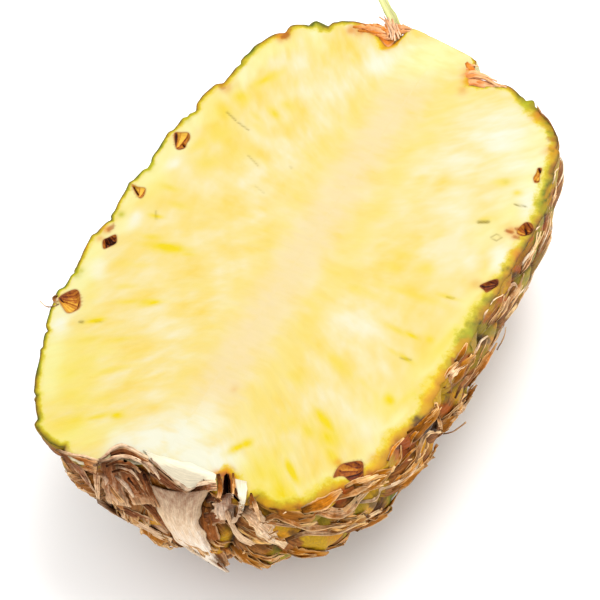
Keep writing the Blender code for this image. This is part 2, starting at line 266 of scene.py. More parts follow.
def eyeCentres():
    power = 0.25 * (sum(body["crownPowers"]) + sum(body["stemPowers"]))
    along = np.sin(np.linspace(-0.5 * math.pi, 0.5 * math.pi, 4000))
    y = body["halfLength"] * along
    radius = body["halfWidth"] * (1.0 - np.abs(along) ** power) ** (1.0 / power)
    arc = np.concatenate([[0.0], np.cumsum(np.hypot(np.diff(y), np.diff(radius)))])
    arc -= np.interp(0.0, y, arc)
    eyeArea = eyes["pitch"] / eyes["columns"] * 2.0 * math.pi * body["halfWidth"]
    turn = 2.0 * math.pi * eyes["columnsPerEye"] / eyes["columns"]
    start = math.radians(eyes["rightColumn"])
    centres = []
    for way in (1, -1):
        place = eyes["firstY"]
        number = 0
        while np.interp(place, arc, radius) > eyes["smallestRing"]:
            if way == 1 or number != 0:
                angle = (start + number * turn + 1.5 * math.pi) % (2.0 * math.pi) - 1.5 * math.pi
                ring = np.interp(place, arc, radius)
                slip = eyes["drift"] * (start - angle) / math.pi * ring / body["halfWidth"]
                ring = np.interp(place - slip, arc, radius)
                height = ring * math.sin(angle) * body["halfHeight"] / body["halfWidth"]
                side = ring * math.cos(angle)
                centres.append((side, np.interp(place - slip, arc, y), height - body["cutAboveAxis"]))
            place += way * eyeArea / (2.0 * math.pi * np.interp(place, arc, radius))
            number += way
    return onBody(unit(np.array(centres)))


def crownward(normals):
    # Unit vectors along the surface that run toward the crown
    return unit(np.array([0.0, 1.0, 0.0]) - normals * normals[:, 1:2])


def eyeFrame(points, centres):
    # Which eye each point of the body is in, and where in that eye it lies
    tree = KDTree(len(centres))
    for number, centre in enumerate(centres):
        tree.insert(centre, number)
    tree.balance()
    nearest = np.array([[hit[1] for hit in tree.find_n(point, 3)] for point in points.tolist()])
    owner = nearest[:, 0]
    own = centres[owner]
    gap = np.full(len(points), np.inf)
    for rank in (1, 2):
        span = centres[nearest[:, rank]] - own
        length = np.linalg.norm(span, axis=1)
        gap = np.minimum(gap, 0.5 * length - ((points - own) * span).sum(axis=1) / length)
    normals = bodyNormals(points)
    toCrown = crownward(bodyNormals(centres))[owner]
    offset = points - own
    return {
        "owner": owner,
        "gap": np.maximum(gap, 0.0),
        "normals": normals,
        "toCrown": toCrown,
        "along": (offset * toCrown).sum(axis=1),
        "aside": (offset * np.cross(toCrown, normals)).sum(axis=1),
    }


def raiseEyes(points, centres, place):
    # The smooth body's points moved out by the domes, the beaks of the bracts and the end forms
    rng = random.Random(eyes["seed"])
    unevenness = eyes["unevenness"]
    tallness = np.array([1.0 + rng.uniform(-unevenness, unevenness) for _ in centres])
    dome = eyes["rise"] * (1.0 - (1.0 - np.minimum(place["gap"] / eyes["shoulder"], 1.0)) ** 2)
    slope = smoothStep(ridge["start"], ridge["peak"], place["along"])
    drop = 1.0 - smoothStep(ridge["peak"], ridge["end"], place["along"])
    middle = bell(place["aside"], ridge["halfWidth"])
    beak = ridge["rise"] * tallness[place["owner"]] * slope * drop * middle
    lean = ridge["reach"] * bell(place["along"] - 1.0, ridge["lean"]) * middle
    fade = smoothStep(stub["radius"], stub["radius"] + stub["grooveWidth"], fromAxis(points))
    begin, full, fading, end = eyes["calmAlong"]
    toward = smoothStep(begin, full, points[:, 1]) * (1.0 - smoothStep(fading, end, points[:, 1]))
    fade = fade * (1.0 - eyes["calm"] * toward * smoothStep(*eyes["calmAcross"], points[:, 0]))
    raised = points + place["normals"] * ((dome + beak) * fade)[:, None]
    raised += place["toCrown"] * (lean * fade)[:, None]
    raised[:, 1] += endForms(points)
    return raised


centres = eyeCentres()
print(f"{len(centres)} eyes round the whole fruit")


# How the cut shows along the rim, going round the face: place, width of the coloured band, from
# thin green skin at 0 to ripe orange and brown at 1, and how far the rim falls below the face
rimStations = (
    ((-20, -86), 2.2, 0.3, 0.2), ((-32, -89), 2.6, 0.25, 0.2), ((-45, -79), 2.6, 0.3, 0.2),
    ((-56, -60), 1.8, 0.15, 0.2), ((-62, -40), 1.5, 0.1, 0.2), ((-63, -22), 1.9, 0.4, 0.2),
    ((-63, -6), 1.5, 0.25, 0.2), ((-63, 8), 1.7, 0.15, 0.2), ((-63, 20), 1.5, 0.05, 0.2),
    ((-62, 34), 1.8, 0.4, 0.2), ((-58, 50), 2.2, 0.55, 0.2), ((-57, 64), 2.6, 0.05, 0.2),
    ((-51, 77), 2.4, 0.6, 0.3), ((-42, 85), 3, 0.05, 0.3), ((-33, 89), 2.4, 0.15, 0.3),
    ((-24, 90), 3.4, 0.95, 0.4), ((-14.5, 92), 2, 0.8, 0.3), ((-12, 95), 0.3, 0.6, 0.2),
    ((0, 94), 0.3, 0.6, 0.2), ((10.5, 93), 0.3, 0.6, 0.2), ((14, 87), 3, 0.8, 0.3),
    ((24, 86), 2.4, 0.45, 0.3), ((33, 84), 3, 0.3, 0.3), ((37, 83), 4.2, 0, 0.4), ((42, 80), 4.6, 0.7, 0.4),
    ((48, 76), 3.6, 0, 0.3), ((52, 70), 3.6, 0.6, 0.4), ((56, 61), 4.6, 0.35, 0.5), ((60, 50), 4.4, 0, 0.6),
    ((62, 42), 3.6, 0.4, 0.6), ((63, 30), 4, 0.6, 0.7), ((63, 15), 4.2, 0.5, 0.8), ((63, 4), 5.2, 0.1, 0.9),
    ((64, -6), 7, 0.1, 1), ((64, -14), 6.4, 0.6, 1), ((64, -24), 5, 0.95, 1), ((62, -34), 5, 0.7, 1),
    ((61, -46), 4.6, 0.8, 1), ((58, -58), 4.4, 0.85, 1), ((53, -68), 5.4, 0.75, 0.9),
    ((46, -77), 5.2, 0.65, 0.8), ((36, -80), 5, 0.55, 0.8), ((28, -82), 4.6, 0.7, 0.7),
    ((22, -78), 2.6, 0.9, 0.5), ((12, -82), 1.8, 0.45, 0.3), ((0, -82), 1.2, 0.2, 0.2),
    ((-12, -83), 1.6, 0.3, 0.2),
)


def rimLook(x, y):
    # The band's width, how ripe it is and the rim's fall, at places near the rim
    stretch = body["halfLength"] / body["halfWidth"]
    angles = [math.atan2(place[1] / stretch, place[0]) for place, *_ in rimStations]
    around = np.arctan2(y / stretch, x)
    return [
        np.interp(around, angles, [station[column] for station in rimStations], period=2.0 * math.pi)
        for column in (1, 2, 3)
    ]


# Tones that show at the rim and between the dry bracts of the right side, as places on the plane
# of the cut face where the photo shows them: middle, half width, half height, strength
skinPatches = {
    "goldSkin": (
        (64, -20, 2.6, 4.5, 0.9), (64.3, -26, 2.6, 4.5, 0.9), (64, -62.5, 3, 5, 0.9),
        (56.5, -85, 5, 3.2, 1), (61.8, -52.5, 2, 5, 0.9), (63.2, 7, 1.8, 3.5, 0.6),
        (62.6, -7, 2.2, 4.5, 0.8), (58.9, 56, 0.9, 4, 0.7), (60.6, 50.5, 0.9, 2.5, 0.6),
        (62.2, 18, 1.2, 5, 0.4), (45, -78.3, 4, 1.2, 0.8), (35, -79.2, 4, 1, 0.7),
        (50.4, -71.5, 1.6, 4, 0.7), (61.6, -42, 1.2, 3, 0.8), (63.2, -31.5, 1.4, 2.6, 0.8),
        (31, -88.5, 3, 1.6, 0.5), (47, 77, 2.6, 1.2, 0.6), (53.5, 68, 1.2, 3, 0.6),
    ),
    "oliveSkin": (
        (66, 1.2, 4.5, 2.4, 1), (65.3, -4.6, 1.8, 3.6, 0.7), (62.4, -71, 2.4, 5, 0.9),
        (53.5, -77.6, 4.6, 2.2, 0.95), (62, 48.4, 2.8, 1.9, 0.9), (66.5, 21.5, 2, 2.5, 0.8),
        (68.8, 30, 1.4, 6, 0.5), (69, -8, 1.6, 6, 0.8), (66.5, -25.5, 1.6, 3, 0.5), (39, 83, 2.4, 1.4, 0.9),
        (45, 80, 2, 1.2, 0.6), (58.8, 58.5, 0.8, 2.6, 0.5),
    ),
    "redSkin": (
        (65, -10.6, 2.8, 2, 0.9), (63.2, -12.6, 1.6, 1.8, 0.8), (64.5, -46, 3.2, 5, 0.85),
        (55, -68.2, 2.2, 3.4, 0.95), (65.6, 12.8, 2, 1.6, 0.9), (64.6, 24.6, 2, 1.2, 0.8),
        (69, -29, 3, 1.8, 0.8), (64, 43, 0.7, 2.8, 0.8), (62.8, 36.5, 0.9, 1, 0.8), (64.2, 5, 0.6, 3, 0.6),
        (64.6, 19.5, 0.8, 2, 0.6), (61, -47, 0.8, 1.4, 0.7), (55.4, 36.2, 1.7, 0.6, 0.9),
        (57, 37.9, 1.1, 0.5, 0.8), (58.4, 35, 1.2, 0.6, 0.7), (19.2, -76.4, 1, 1.5, 0.9),
        (22.4, -76.6, 0.6, 1.6, 0.7), (-49.6, 77.2, 1.5, 1.8, 0.9), (-58, 50.5, 1.2, 1.4, 0.5),
        (-61, -12.5, 0.9, 1.8, 0.8), (59.4, -58.5, 1.2, 2, 0.6), (48, -76.5, 1.8, 1.4, 0.6),
        (29, -80, 1.2, 1.8, 0.7), (50, 73, 1.4, 1.2, 0.6), (55.6, 63, 0.7, 2, 0.5),
    ),
    "darkSkin": (
        (66.4, -36.4, 4.4, 3.8, 1), (67.4, -2.6, 2.8, 1.5, 0.8), (66, -66.6, 2.8, 1.5, 0.8),
        (44, -80.4, 3, 0.9, 0.8), (31.8, -80.6, 1.6, 1.4, 0.8), (67, -71, 2.6, 1, 0.8),
        (62.2, -46.6, 1.4, 0.7, 0.8), (67.6, -46.6, 1.2, 1.4, 0.8), (59.8, -77, 1, 1.4, 0.7),
        (49, -85.2, 2, 0.8, 0.8), (65, -64, 0.8, 2.6, 0.6), (64.8, 22.6, 0.9, 1.6, 0.6),
    ),
}


def skinShares(points):
    # How much of each tone the points take, with ragged edges
    seen = seenAt(points)
    warp = 1.0 + 0.4 * softNoise(points, 1.8, 6.1) + 0.3 * softNoise(points, 0.8, 2.7)
    shares = {}
    for tone, patches in skinPatches.items():
        shares[tone] = np.zeros(len(points))
        for x, y, across, along, strength in patches:
            gap = np.hypot((seen[:, 0] - x) / across, (seen[:, 1] - y) / along) * warp
            shares[tone] = np.maximum(shares[tone], strength * (1.0 - smoothStep(0.7, 1.15, gap)))
    return shares


# Rind

skin = {
    "subdivisions": 8,  # 0.7 mm between points
    "crease": 0.7,  # how much deeper the groove between two eyes is than in the solid
    "creaseWidth": 0.7,
    "wrinkle": 0.22,
    "wrinkleSize": 2.4,
    "rib": 0.16,  # lengthwise ribs in the papery half of an eye
    "ribSpacing": 1.7,
    "closing": 0.75,  # share of the groove that is grown together just below the cut
    "closingDepth": 7.0,
    "closedLeft": (-35.0, -15.0),  # X over which the closed grooves of the left side end
    "closedRight": (16.0, 28.0),  # and those of the right side begin
    "openAtStem": (-80.0, -70.0),  # Y up to which the right side's stay open
    "openAtCrown": (60.0, 74.0),  # and from which the left side's are more open again
    "rimBump": 0.45,
    "rimBumpSize": 4.5,
    "seed": 5,
}
# Where the rim stands out or in by itself: middle, reach, rise
rimLumps = (
    (36.4, 82, 2.2, 2.6), (43.5, 79.5, 3.5, -1.5), (52, 74, 4, 0.6), (-54.5, -64.5, 6, -2.6),
    (30, 84, 3, 0.8), (61, 60, 8, -1.3), (-58, 52, 8, -2.3), (-50.6, 75.8, 2.2, -1.5),
    (-48.5, 80.5, 3.5, 1.8), (-43.5, 84, 3, 1.5), (-38.5, 84.8, 1.5, -0.8), (-57, 69, 4, 1.2),
    (-60.8, 38.6, 1.8, -1.8), (-62.8, 34, 1.8, 1), (-64.2, 7, 4, 1.2), (-64, -16.5, 2.6, 1.2),
    (-62.8, -32, 1.8, 1.2), (-62.4, 14.6, 1.3, -0.9), (-60.2, -6, 1.5, -1),
)


def openPocket(points):
    # The slit beside the stem, pressed in along Y with a lean to one side; its inside is painted dark as
    # painted shade
    place = np.array(stemPocket["place"])
    size = np.array(stemPocket["size"])
    moved = points - place
    moved[:, 0] -= stemPocket["lean"] * moved[:, 1]
    scaled = moved / size
    inside = (scaled ** 2).sum(axis=1) < 1.0
    depth = size[1] * np.sqrt(np.clip(1.0 - scaled[:, 0] ** 2 - scaled[:, 2] ** 2, 0.0, 1.0))
    opened = points.copy()
    opened[inside, 0] = (place[0] + moved[:, 0] + stemPocket["lean"] * depth)[inside]
    opened[inside, 1] = (place[1] + depth)[inside]
    return opened, inside


def closeGrooves(smooth, place):
    # How far the grooves of both sides fill up toward the cut, with small bumps of their own
    dome = 1.0 - (1.0 - np.minimum(place["gap"] / eyes["shoulder"], 1.0)) ** 2
    left = 1.0 - smoothStep(*skin["closedLeft"], smooth[:, 0])
    right = smoothStep(*skin["closedRight"], smooth[:, 0]) * smoothStep(*skin["openAtStem"], smooth[:, 1])
    lower = 1.0 - 0.7 * left * smoothStep(*skin["openAtCrown"], smooth[:, 1])
    near = 1.0 - smoothStep(1.0, skin["closingDepth"], -smooth[:, 2])
    fill = skin["closing"] * eyes["rise"] * (1.0 - dome) * lower
    bumps = skin["rimBump"] * softNoise(smooth, skin["rimBumpSize"], 2.2)
    closed = np.maximum(left, right) * near * (fill + bumps)
    for x, y, reach, rise in rimLumps:
        lump = rise * bell(np.hypot(smooth[:, 0] - x, smooth[:, 1] - y), reach)
        closed += lump * (1.0 - smoothStep(2.0 * reach, 4.0 * reach, -smooth[:, 2]))
    return closed


def rindShell():
    sphere = bmesh.new()
    bmesh.ops.create_icosphere(sphere, subdivisions=skin["subdivisions"], radius=1.0)
    bmesh.ops.bisect_plane(
        sphere,
        geom=sphere.verts[:] + sphere.edges[:] + sphere.faces[:],
        dist=1e-4,
        plane_co=(0.0, 0.0, 0.0),
        plane_no=(0.0, 0.0, 1.0),
        use_snap_center=True,
        clear_outer=True,
    )
    sphere.verts.index_update()
    size = (body["halfWidth"], body["halfLength"], body["depth"])
    smooth = onBody(unit(np.array([vert.co for vert in sphere.verts]) * size))
    onRim = np.array([vert.is_boundary for vert in sphere.verts])
    faces = [[vert.index for vert in face.verts] for face in sphere.faces]
    rimEdges = [[vert.index for vert in edge.verts] for edge in sphere.edges if edge.is_boundary]
    sphere.free()

    place = eyeFrame(smooth, centres)
    shaped = raiseEyes(smooth, centres, place)
    papery = 1.0 - smoothStep(-1.0, 2.5, place["along"] + 0.8 * softNoise(smooth, 3.0))
    fine = -skin["crease"] * bell(place["gap"], skin["creaseWidth"])
    fine += skin["wrinkle"] * softNoise(smooth, skin["wrinkleSize"]) * (0.4 + 0.6 * papery)
    ribs = np.sin(2.0 * math.pi * place["aside"] / skin["ribSpacing"] + 6.0 * softNoise(smooth, 9.0))
    fine += skin["rib"] * ribs * papery
    fade = smoothStep(stub["radius"] - 1.0, stub["radius"] + 2.0, fromAxis(smooth))
    lift = fine * (0.25 + 0.75 * fade) + closeGrooves(smooth, place)
    shaped += place["normals"] * lift[:, None]
    shaped, inPocket = openPocket(shaped)
    shaped[:, 2] = np.clip(shaped[:, 2], -body["depth"], None)
    _, ripe, fall = rimLook(shaped[:, 0], shaped[:, 1])
    shaped[:, 2] = np.minimum(shaped[:, 2], np.where(onRim, -fall, -0.5 * fall))
    shaped[onRim, 2] = -fall[onRim]

    rng = random.Random(skin["seed"])
    tint = np.array([rng.random() for _ in centres])[place["owner"]]
    atStub = (1.0 - smoothStep(stub["radius"], stub["radius"] + 2.5, fromAxis(smooth))) * (smooth[:, 1] > 0.0)
    below = -shaped[:, 2] + 0.8 * softNoise(smooth, 2.0)
    masks = {
        "papery": papery,
        "groove": bell(place["gap"], 1.1),
        "eyeTint": tint,
        "nearCut": 1.0 - smoothStep(0.4 + 1.2 * ripe, 1.6 + 3.6 * ripe, below),
        "ripe": ripe,
        "rightSide": smoothStep(-20.0, 40.0, shaped[:, 0] - 0.6 * shaped[:, 1]),
        "brokenStub": atStub,
        "pocket": inPocket.astype(float),
        "grain": np.stack([place["aside"], place["along"], 9.0 * place["owner"]], axis=1),
        **skinShares(shaped),
    }
    shell = makePiece("rindShell", shaped, faces, rindMaterial(), masks)
    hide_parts(nodeName)
    return shaped, faces, rimLoop(rimEdges)


def rimLoop(edges):
    # The rim's points in order round the cut face
    beside = {}
    for first, second in edges:
        beside.setdefault(first, []).append(second)
        beside.setdefault(second, []).append(first)
    loop = [edges[0][0]]
    previous = None
    while True:
        step = [point for point in beside[loop[-1]] if point != previous][0]
        if step == loop[0]:
            return loop
        previous = loop[-1]
        loop.append(step)


skinLook = {
    "blotch": 4.0,  # mm, as are the next two
    "speck": 0.7,
    "fibre": 0.6,
    "plate": ((0.0, "#26380a"), (1.0, "#b87c06"), (0.3, "#5c5f08"), (0.6, "#a08608")),  # unripe to ripe
    "paper": ((0.25, "#280e04"), (0.8, "#b07840"), (0.5, "#783e12")),
    "cutEdge": ((0.05, "#5a6210"), (0.8, "#7c3f10"), (0.4, "#96700e")),
    "bump": 0.15,  # mm
}
# What lies over the plates: mask, colour and strength
skinLayers = (
    # The near-black in the grooves between eyes is partly the seam's own dark skin and partly painted shade
    # in the crease
    ("papery", "paper", 0.9), ("groove", "#1c0c04", 0.85), ("nearCut", "cutEdge", 0.85),
    ("oliveSkin", "#7c6c08", 0.9), ("goldSkin", "#b08a0c", 0.9), ("redSkin", "#984610", 0.9),
    # Inside the slit beside the stem the rind is painted near-black: painted shade in the recess
    ("darkSkin", "#2c180a", 0.95), ("brokenStub", "#bfb886", 1.0), ("pocket", "#34100a", 1.0),
)


def rindMaterial():
    # Fresh pineapple skin, grown: waxy olive and gold plates with a soft shine, and the dull
    # brown, papery lower half of each eye that its dry bract grows from.
    made, tree, shader = newMaterial("pineappleSkin")
    masks = ("eyeTint", "rightSide", "ripe", *(mask for mask, *_ in skinLayers))
    read = {mask: addNode(tree, "Attribute", {}, {"attribute_name": mask}, output="Fac") for mask in masks}
    grain = addNode(tree, "Attribute", {}, {"attribute_name": "grain"}, output="Vector")
    stretched = addNode(tree, "VectorMath", {0: grain, 1: (1.0, 0.12, 1.0)}, multiply)
    blotch, speck, fibre = (
        addNode(tree, "TexNoise", {"Vector": place, "Scale": 1 / size, "Detail": detail, "Roughness": rough})
        for place, size, detail, rough in (
            (grain, skinLook["blotch"], 5.0, 0.65),
            (grain, skinLook["speck"], 3.0, 0.65),
            (stretched, skinLook["fibre"], 3.0, 0.6),
        )
    )
    age = addNode(tree, "Math", {0: read["eyeTint"], 1: 0.6, 2: blotch}, multiplyAdd)
    age = addNode(tree, "Math", {0: read["rightSide"], 1: 0.15, 2: age}, multiplyAdd)
    age = addNode(tree, "MapRange", {0: age, "From Min": 0.40, "From Max": 1.15})
    tone = addNode(tree, "ValToRGB", {0: age}, stops=skinLook["plate"])
    ramps = {
        "paper": addNode(tree, "ValToRGB", {0: fibre}, stops=skinLook["paper"]),
        "cutEdge": addNode(tree, "ValToRGB", {0: read["ripe"]}, stops=skinLook["cutEdge"]),
    }
    for mask, colour, strength in skinLayers:
        share = addNode(tree, "Math", {0: read[mask], 1: strength}, multiply)
        colour = ramps[colour] if colour in ramps else hexColour(colour)
        tone = addNode(tree, "Mix", {0: share, 6: tone, 7: colour}, colourMix, output=2)
    shade = addNode(
        tree, "MapRange", {0: speck, "From Min": 0.3, "From Max": 0.7, "To Min": 0.7, "To Max": 1.2}
    )
    tone = addNode(tree, "VectorMath", {0: tone, "Scale": shade}, {"operation": "SCALE"})
    rough = addNode(tree, "MapRange", {0: speck, "To Min": 0.35, "To Max": 0.75})
    relief = addNode(tree, "Math", {0: fibre, 1: speck}, {"operation": "ADD"})
    bump = addNode(tree, "Bump", {"Strength": 0.5, "Distance": skinLook["bump"] * mm, "Height": relief})
    setInputs(tree, shader, {
        "Base Color": tone, "Roughness": rough, "Normal": bump, "IOR": 1.45, "Specular IOR Level": 0.15,
    })
    return made


# Cut face

flesh = {
    "pointSpacing": 0.62,
    "rimRings": (0.3, 0.7, 1.2, 1.8),  # extra rings of points beside the rim
    "eyeRings": (0.25, 0.6),
    "unevenness": 0.25,
    "coreMiddle": ((-85.0, 4.0), (-45.0, 1.5), (10.0, 0.0), (55.0, -1.5), (95.0, 0.0)),  # y and x
    "coreHalf": (1.0, 14.0),  # where the core's tone begins and ends to fade
    "coreEnds": (-66.0, -52.0, 66.0, 88.0),
    "fibreStart": 10.0,
    "fan": 0.9,  # steepest slope of the fibres toward the ends
    "fanLength": 62.0,
    "fanMiddles": (8.0, 0.0),  # of the left and right side
    "lemonAlong": (-80.0, -70.0, 70.0, 84.0),  # where the paler flesh inside the rim begins and ends
    "rootAcross": (-30.0, -24.0, 17.0, 20.0),  # where the stem's root begins and ends
    "rootRim": (0.6, 2.4),  # how far in from the rim the root's duller tone fades
}
# Duller yellow bands beside the core: x off its middle, width, strength, and where they end
coreBands = ((14.5, 5.5, 0.9, -62, 84), (-11, 4.5, 0.55, -62, 70))
# Soft patches of another tone: middle, half length along the fibres, half width, strength
yellowPatches = (
    (-41, -12, 7.5, 1.9, 1), (-47, -10.5, 4, 1.3, 0.5), (-33, -11.5, 3, 1, 0.5),
    (-49.7, -2.8, 2.6, 0.8, 0.8), (-46, 3.5, 5, 1.4, 0.35), (-52, 8.5, 3, 1.2, 0.5),
    (-48, 22, 5, 5.5, 0.45), (-48.5, 33, 5.5, 5, 0.45), (-52, 42, 4.5, 3, 0.5), (-46, 59, 2, 7, 0.6),
    (-36, 47.5, 3, 1.6, 0.7), (-34, 52, 3.5, 2, 0.5), (-50, 49, 4, 2.8, 0.7), (-41, 44, 3, 1.2, 0.4),
    (-38, 29, 5, 4, 0.25), (-33.5, -31.6, 3.6, 1.5, 0.9), (-44.5, -30, 3.5, 1.2, 0.45),
    (-40.5, -34.6, 5, 1, 0.5), (-46, -45, 3.5, 1.1, 0.95), (-36, -48, 6, 1.3, 0.45),
    (-45, -52, 8, 1.6, 0.35), (-30, -57.5, 6, 1.6, 0.35), (-21, -72, 2.5, 1.4, 0.95),
    (-26.5, -75, 5, 1.3, 0.6), (-33, -79, 7, 3.5, 0.5), (-28, -68, 5, 3, 0.35), (-40, -62, 8, 3, 0.3),
    (-38, -72, 6, 3, 0.25), (-22, -20, 7, 2, 0.2), (-47, -22, 5, 1.5, 0.25), (38, -47.6, 5.5, 1.5, 1),
    (42, -52, 5, 3, 0.7), (47, -57.5, 5, 1.7, 0.8), (35.5, -52.5, 4, 2.2, 0.6), (38, -67, 5.2, 1.2, 1),
    (33, -60, 4.5, 4, 0.35), (29, -53, 5, 4, 0.35), (19.6, -65.5, 1.5, 4.5, 0.9), (52.3, -33, 2.1, 1.6, 1),
    (49, -18, 2.7, 0.8, 0.8), (44.5, -17.5, 3.2, 0.8, 0.4), (47, -10, 3, 0.9, 0.8), (41, -10, 5, 1.2, 0.5),
    (52.5, -9, 1.5, 1.3, 0.7), (50, 7, 3, 0.8, 0.7), (38.3, 13.5, 3.6, 3, 0.35), (29, 10, 3.4, 2, 0.35),
    (30, 15.5, 3.2, 1.6, 0.3), (39, 3.4, 11, 1.6, 0.4), (25, -1.5, 8, 1.6, 0.35), (31, -28, 7, 2.2, 0.4),
    (22, -38, 5.5, 2.8, 0.35), (42, -31, 6, 1.6, 0.3), (44.5, 52, 3.2, 1.7, 0.6), (50.3, 50.2, 1.4, 1, 0.7),
    (46, 37, 2.6, 1.5, 0.5), (28, -73, 5, 2.4, 0.4), (40, -75, 9, 3.2, 0.9), (29, -71, 6, 2.6, 0.5),
    (57.5, -6, 1.8, 9, 0.45), (56.5, -30, 1.8, 8, 0.35), (-37, 40, 5, 1.6, 0.3), (-52, 27, 2.6, 6, 0.4),
)
whitePatches = (
    (35, 67, 10, 7, 0.85), (27, 55, 10, 8, 0.55), (45, 61, 7, 7, 0.55), (55.5, 48, 4, 5, 0.75),
    (56.5, 27, 4, 6, 0.85), (50, 21, 4.5, 5, 0.55), (34, 37, 11, 8, 0.45), (30, -13, 11, 5, 0.6),
    (22, -8, 4, 3, 0.3), (-15.5, 79, 5, 8, 0.75), (-25, 62, 8, 8, 0.4), (-40, 67, 4, 4.5, 0.4),
    (-32, 37, 8, 3.5, 0.35), (-56, 17, 2.6, 3, 0.8), (-56, -6, 2.2, 4, 0.75), (-56, -28, 3, 4.5, 0.65),
    (-55.5, -51, 3, 4.5, 0.8), (-25, 17, 10, 5, 0.25), (42, -41.5, 7, 3, 0.45), (51, -43, 4, 4.5, 0.45),
    (45, -24, 5, 2, 0.3), (-24, 30, 6, 5, 0.2), (-22, -38, 6, 4, 0.2), (28, 28, 8, 4, 0.25),
    (32, 73, 14, 7, 0.6), (22, 70, 7, 6, 0.35), (42, 52, 14, 11, 0.3), (36, -22, 8, 3, 0.35),
    (-38, 55, 6, 5, 0.2), (-34, -8, 6, 3, 0.25),
)
# The pale root of the stem, as places on the face with their reach and strength
stemWhite = (
    (-6, -76, 8, 1), (1, -71, 9, 1), (9, -76, 10, 1), (15, -72.5, 6.5, 1), (5, -64, 7, 0.7),
    (-13, -79.5, 5, 0.9), (0, -80, 5, 1), (12, -80, 5, 1),
)
lemonPatches = (
    (0, 89, 16, 8, 1), (46, 70, 8, 6, 0.6), (53, 56, 6, 7, 0.6), (-40, 80, 7, 3, 0.5), (50, 33, 6, 8, 0.4),
    (6, -66, 5, 7, 0.4), (-57, 24, 2, 5, 0.6), (50, 63, 9, 12, 0.6), (53, 42, 6, 12, 0.5),
)
zestPatches = (
    (-46, -66, 14, 15, 0.9), (-30, -83, 13, 6, 1), (-57, -30, 4, 22, 0.7), (-57, 8, 4, 12, 0.6),
    (52, -38, 7, 12, 0.7), (33, -71, 14, 7, 0.8), (57, -10, 4, 16, 0.8), (52, -66, 6, 8, 0.8),
    (-52, 72, 5, 8, 0.5),
)
# Stains that darken the flesh: middle, radius, strength
orangeStains = (
    (-27.8, 88.6, 2.4, 1), (-24.2, 90, 2.4, 1), (-30.8, 87.2, 1.8, 0.8), (-20.5, 91, 2.2, 0.9),
    (-16, 87.2, 1.7, 0.9), (-16.2, 85.2, 1.3, 0.7), (13.4, 86.4, 2.2, 0.9), (14.4, 83.2, 2, 0.7),
    (14.8, 79.6, 1.8, 0.5), (-50.5, 76.5, 2.6, 0.8), (-56.5, 50.5, 2.6, 0.55), (-61, 27, 1.6, 0.5),
    (-61.8, -13.5, 1.8, 0.9), (-62, -17.5, 1.4, 0.6), (58.5, -52.5, 2.2, 0.5), (60.8, 30, 1.6, 0.5),
    (41.5, 79.5, 2.4, 0.6), (52, 69.5, 1.8, 0.8), (7, -49, 1.3, 0.25), (28, -80.5, 2.2, 0.5),
    (55.6, 36.6, 1.7, 0.9), (57.6, 35.4, 1.5, 0.8), (57.2, 38, 1.4, 0.8), (55.5, 14.6, 1.5, 0.5),
    (20.2, -74.6, 1.4, 0.8), (18, -77.2, 1.6, 0.9), (23.2, -76.6, 1.1, 0.8), (49, -58.5, 1.2, 0.7),
)
greenStains = (
    (62.5, -2, 2.4, 0.8), (61.5, 48.5, 1.7, 0.8), (36.8, 82.8, 2.2, 0.9), (45.2, 52.6, 1, 0.3),
    (-63, 12.6, 1.4, 0.9), (-62.4, 14.4, 1.1, 0.9), (-62.2, 35.2, 1.5, 0.9), (-61.2, 37.2, 1.1, 0.9),
    (-60.8, -6.8, 1.2, 0.9), (-61.4, -32.4, 1.5, 0.9), (-60.8, -30.8, 1, 0.9), (-56.9, 60.6, 1, 0.8),
)
# Short dark marks of vessels and seeds: two ends, half width, strength
fleshMarks = (
    ((51.8, 46), (55.4, 46.6), 0.28, 0.75), ((44.8, 35.6), (47.4, 36.8), 0.55, 0.85),
    ((51, 31.9), (51.9, 33.7), 0.25, 0.45), ((51.9, 33.7), (54.2, 33.3), 0.25, 0.5),
    ((54.2, 33.3), (53.3, 31.5), 0.25, 0.45), ((53.3, 31.5), (51, 31.9), 0.25, 0.5),
    ((60.2, 22.6), (61.6, 24.4), 0.4, 0.9), ((-50.4, -47.3), (-49.6, -47), 0.45, 0.8),
    ((-51, 42), (-46.5, 40.2), 0.3, 0.55), ((-45.5, 39.8), (-40.5, 38.4), 0.28, 0.5),
    ((-35.5, 29.6), (-30.5, 27.4), 0.25, 0.35), ((-27, 20), (-23, 18.6), 0.25, 0.2),
    ((47.6, -18.4), (50.8, -17.9), 0.35, 0.45), ((49.5, 6.8), (51.6, 7.2), 0.35, 0.4),
    ((-51.3, -1.2), (-49.4, -3.8), 0.35, 0.35), ((-20.6, 31), (-19.8, 30.6), 0.35, 0.25),
    ((-46, -45.2), (-44, -44.4), 0.3, 0.3), ((51.4, 69.6), (52.8, 69.2), 0.45, 0.8),
)


def smoothLoop(corners, perSide):
    # A closed curve through the corners
    corners = np.array(corners, float)
    before, after, later = np.roll(corners, 1, 0), np.roll(corners, -1, 0), np.roll(corners, -2, 0)
    rows = []
    for step in range(perSide):
        rows.append(curvePoint(before, corners, after, later, step / perSide))
    return np.stack(rows, axis=1).reshape(-1, 2)


def insideLoop(points, loop):
    inside = np.zeros(len(points), bool)
    for start, end in zip(loop, np.roll(loop, -1, 0)):
        crosses = (start[1] > points[:, 1]) != (end[1] > points[:, 1])
        rise = end[1] - start[1] if end[1] != start[1] else 1e-12
        at = start[0] + (points[:, 1] - start[1]) * (end[0] - start[0]) / rise
        inside ^= crosses & (points[:, 0] < at)
    return inside


def loopGap(points, loop):
    # Distance in the plane from each point to a closed line
    steps = np.linspace(0.0, 1.0, 8, endpoint=False)
    dense = (loop[:, None] + (np.roll(loop, -1, 0) - loop)[:, None] * steps[None, :, None]).reshape(-1, 2)
    tree = KDTree(len(dense))
    for number, (x, y) in enumerate(dense.tolist()):
        tree.insert((x, y, 0.0), number)
    tree.balance()
    return np.array([tree.find((x, y, 0.0))[2] for x, y in points[:, :2].tolist()])


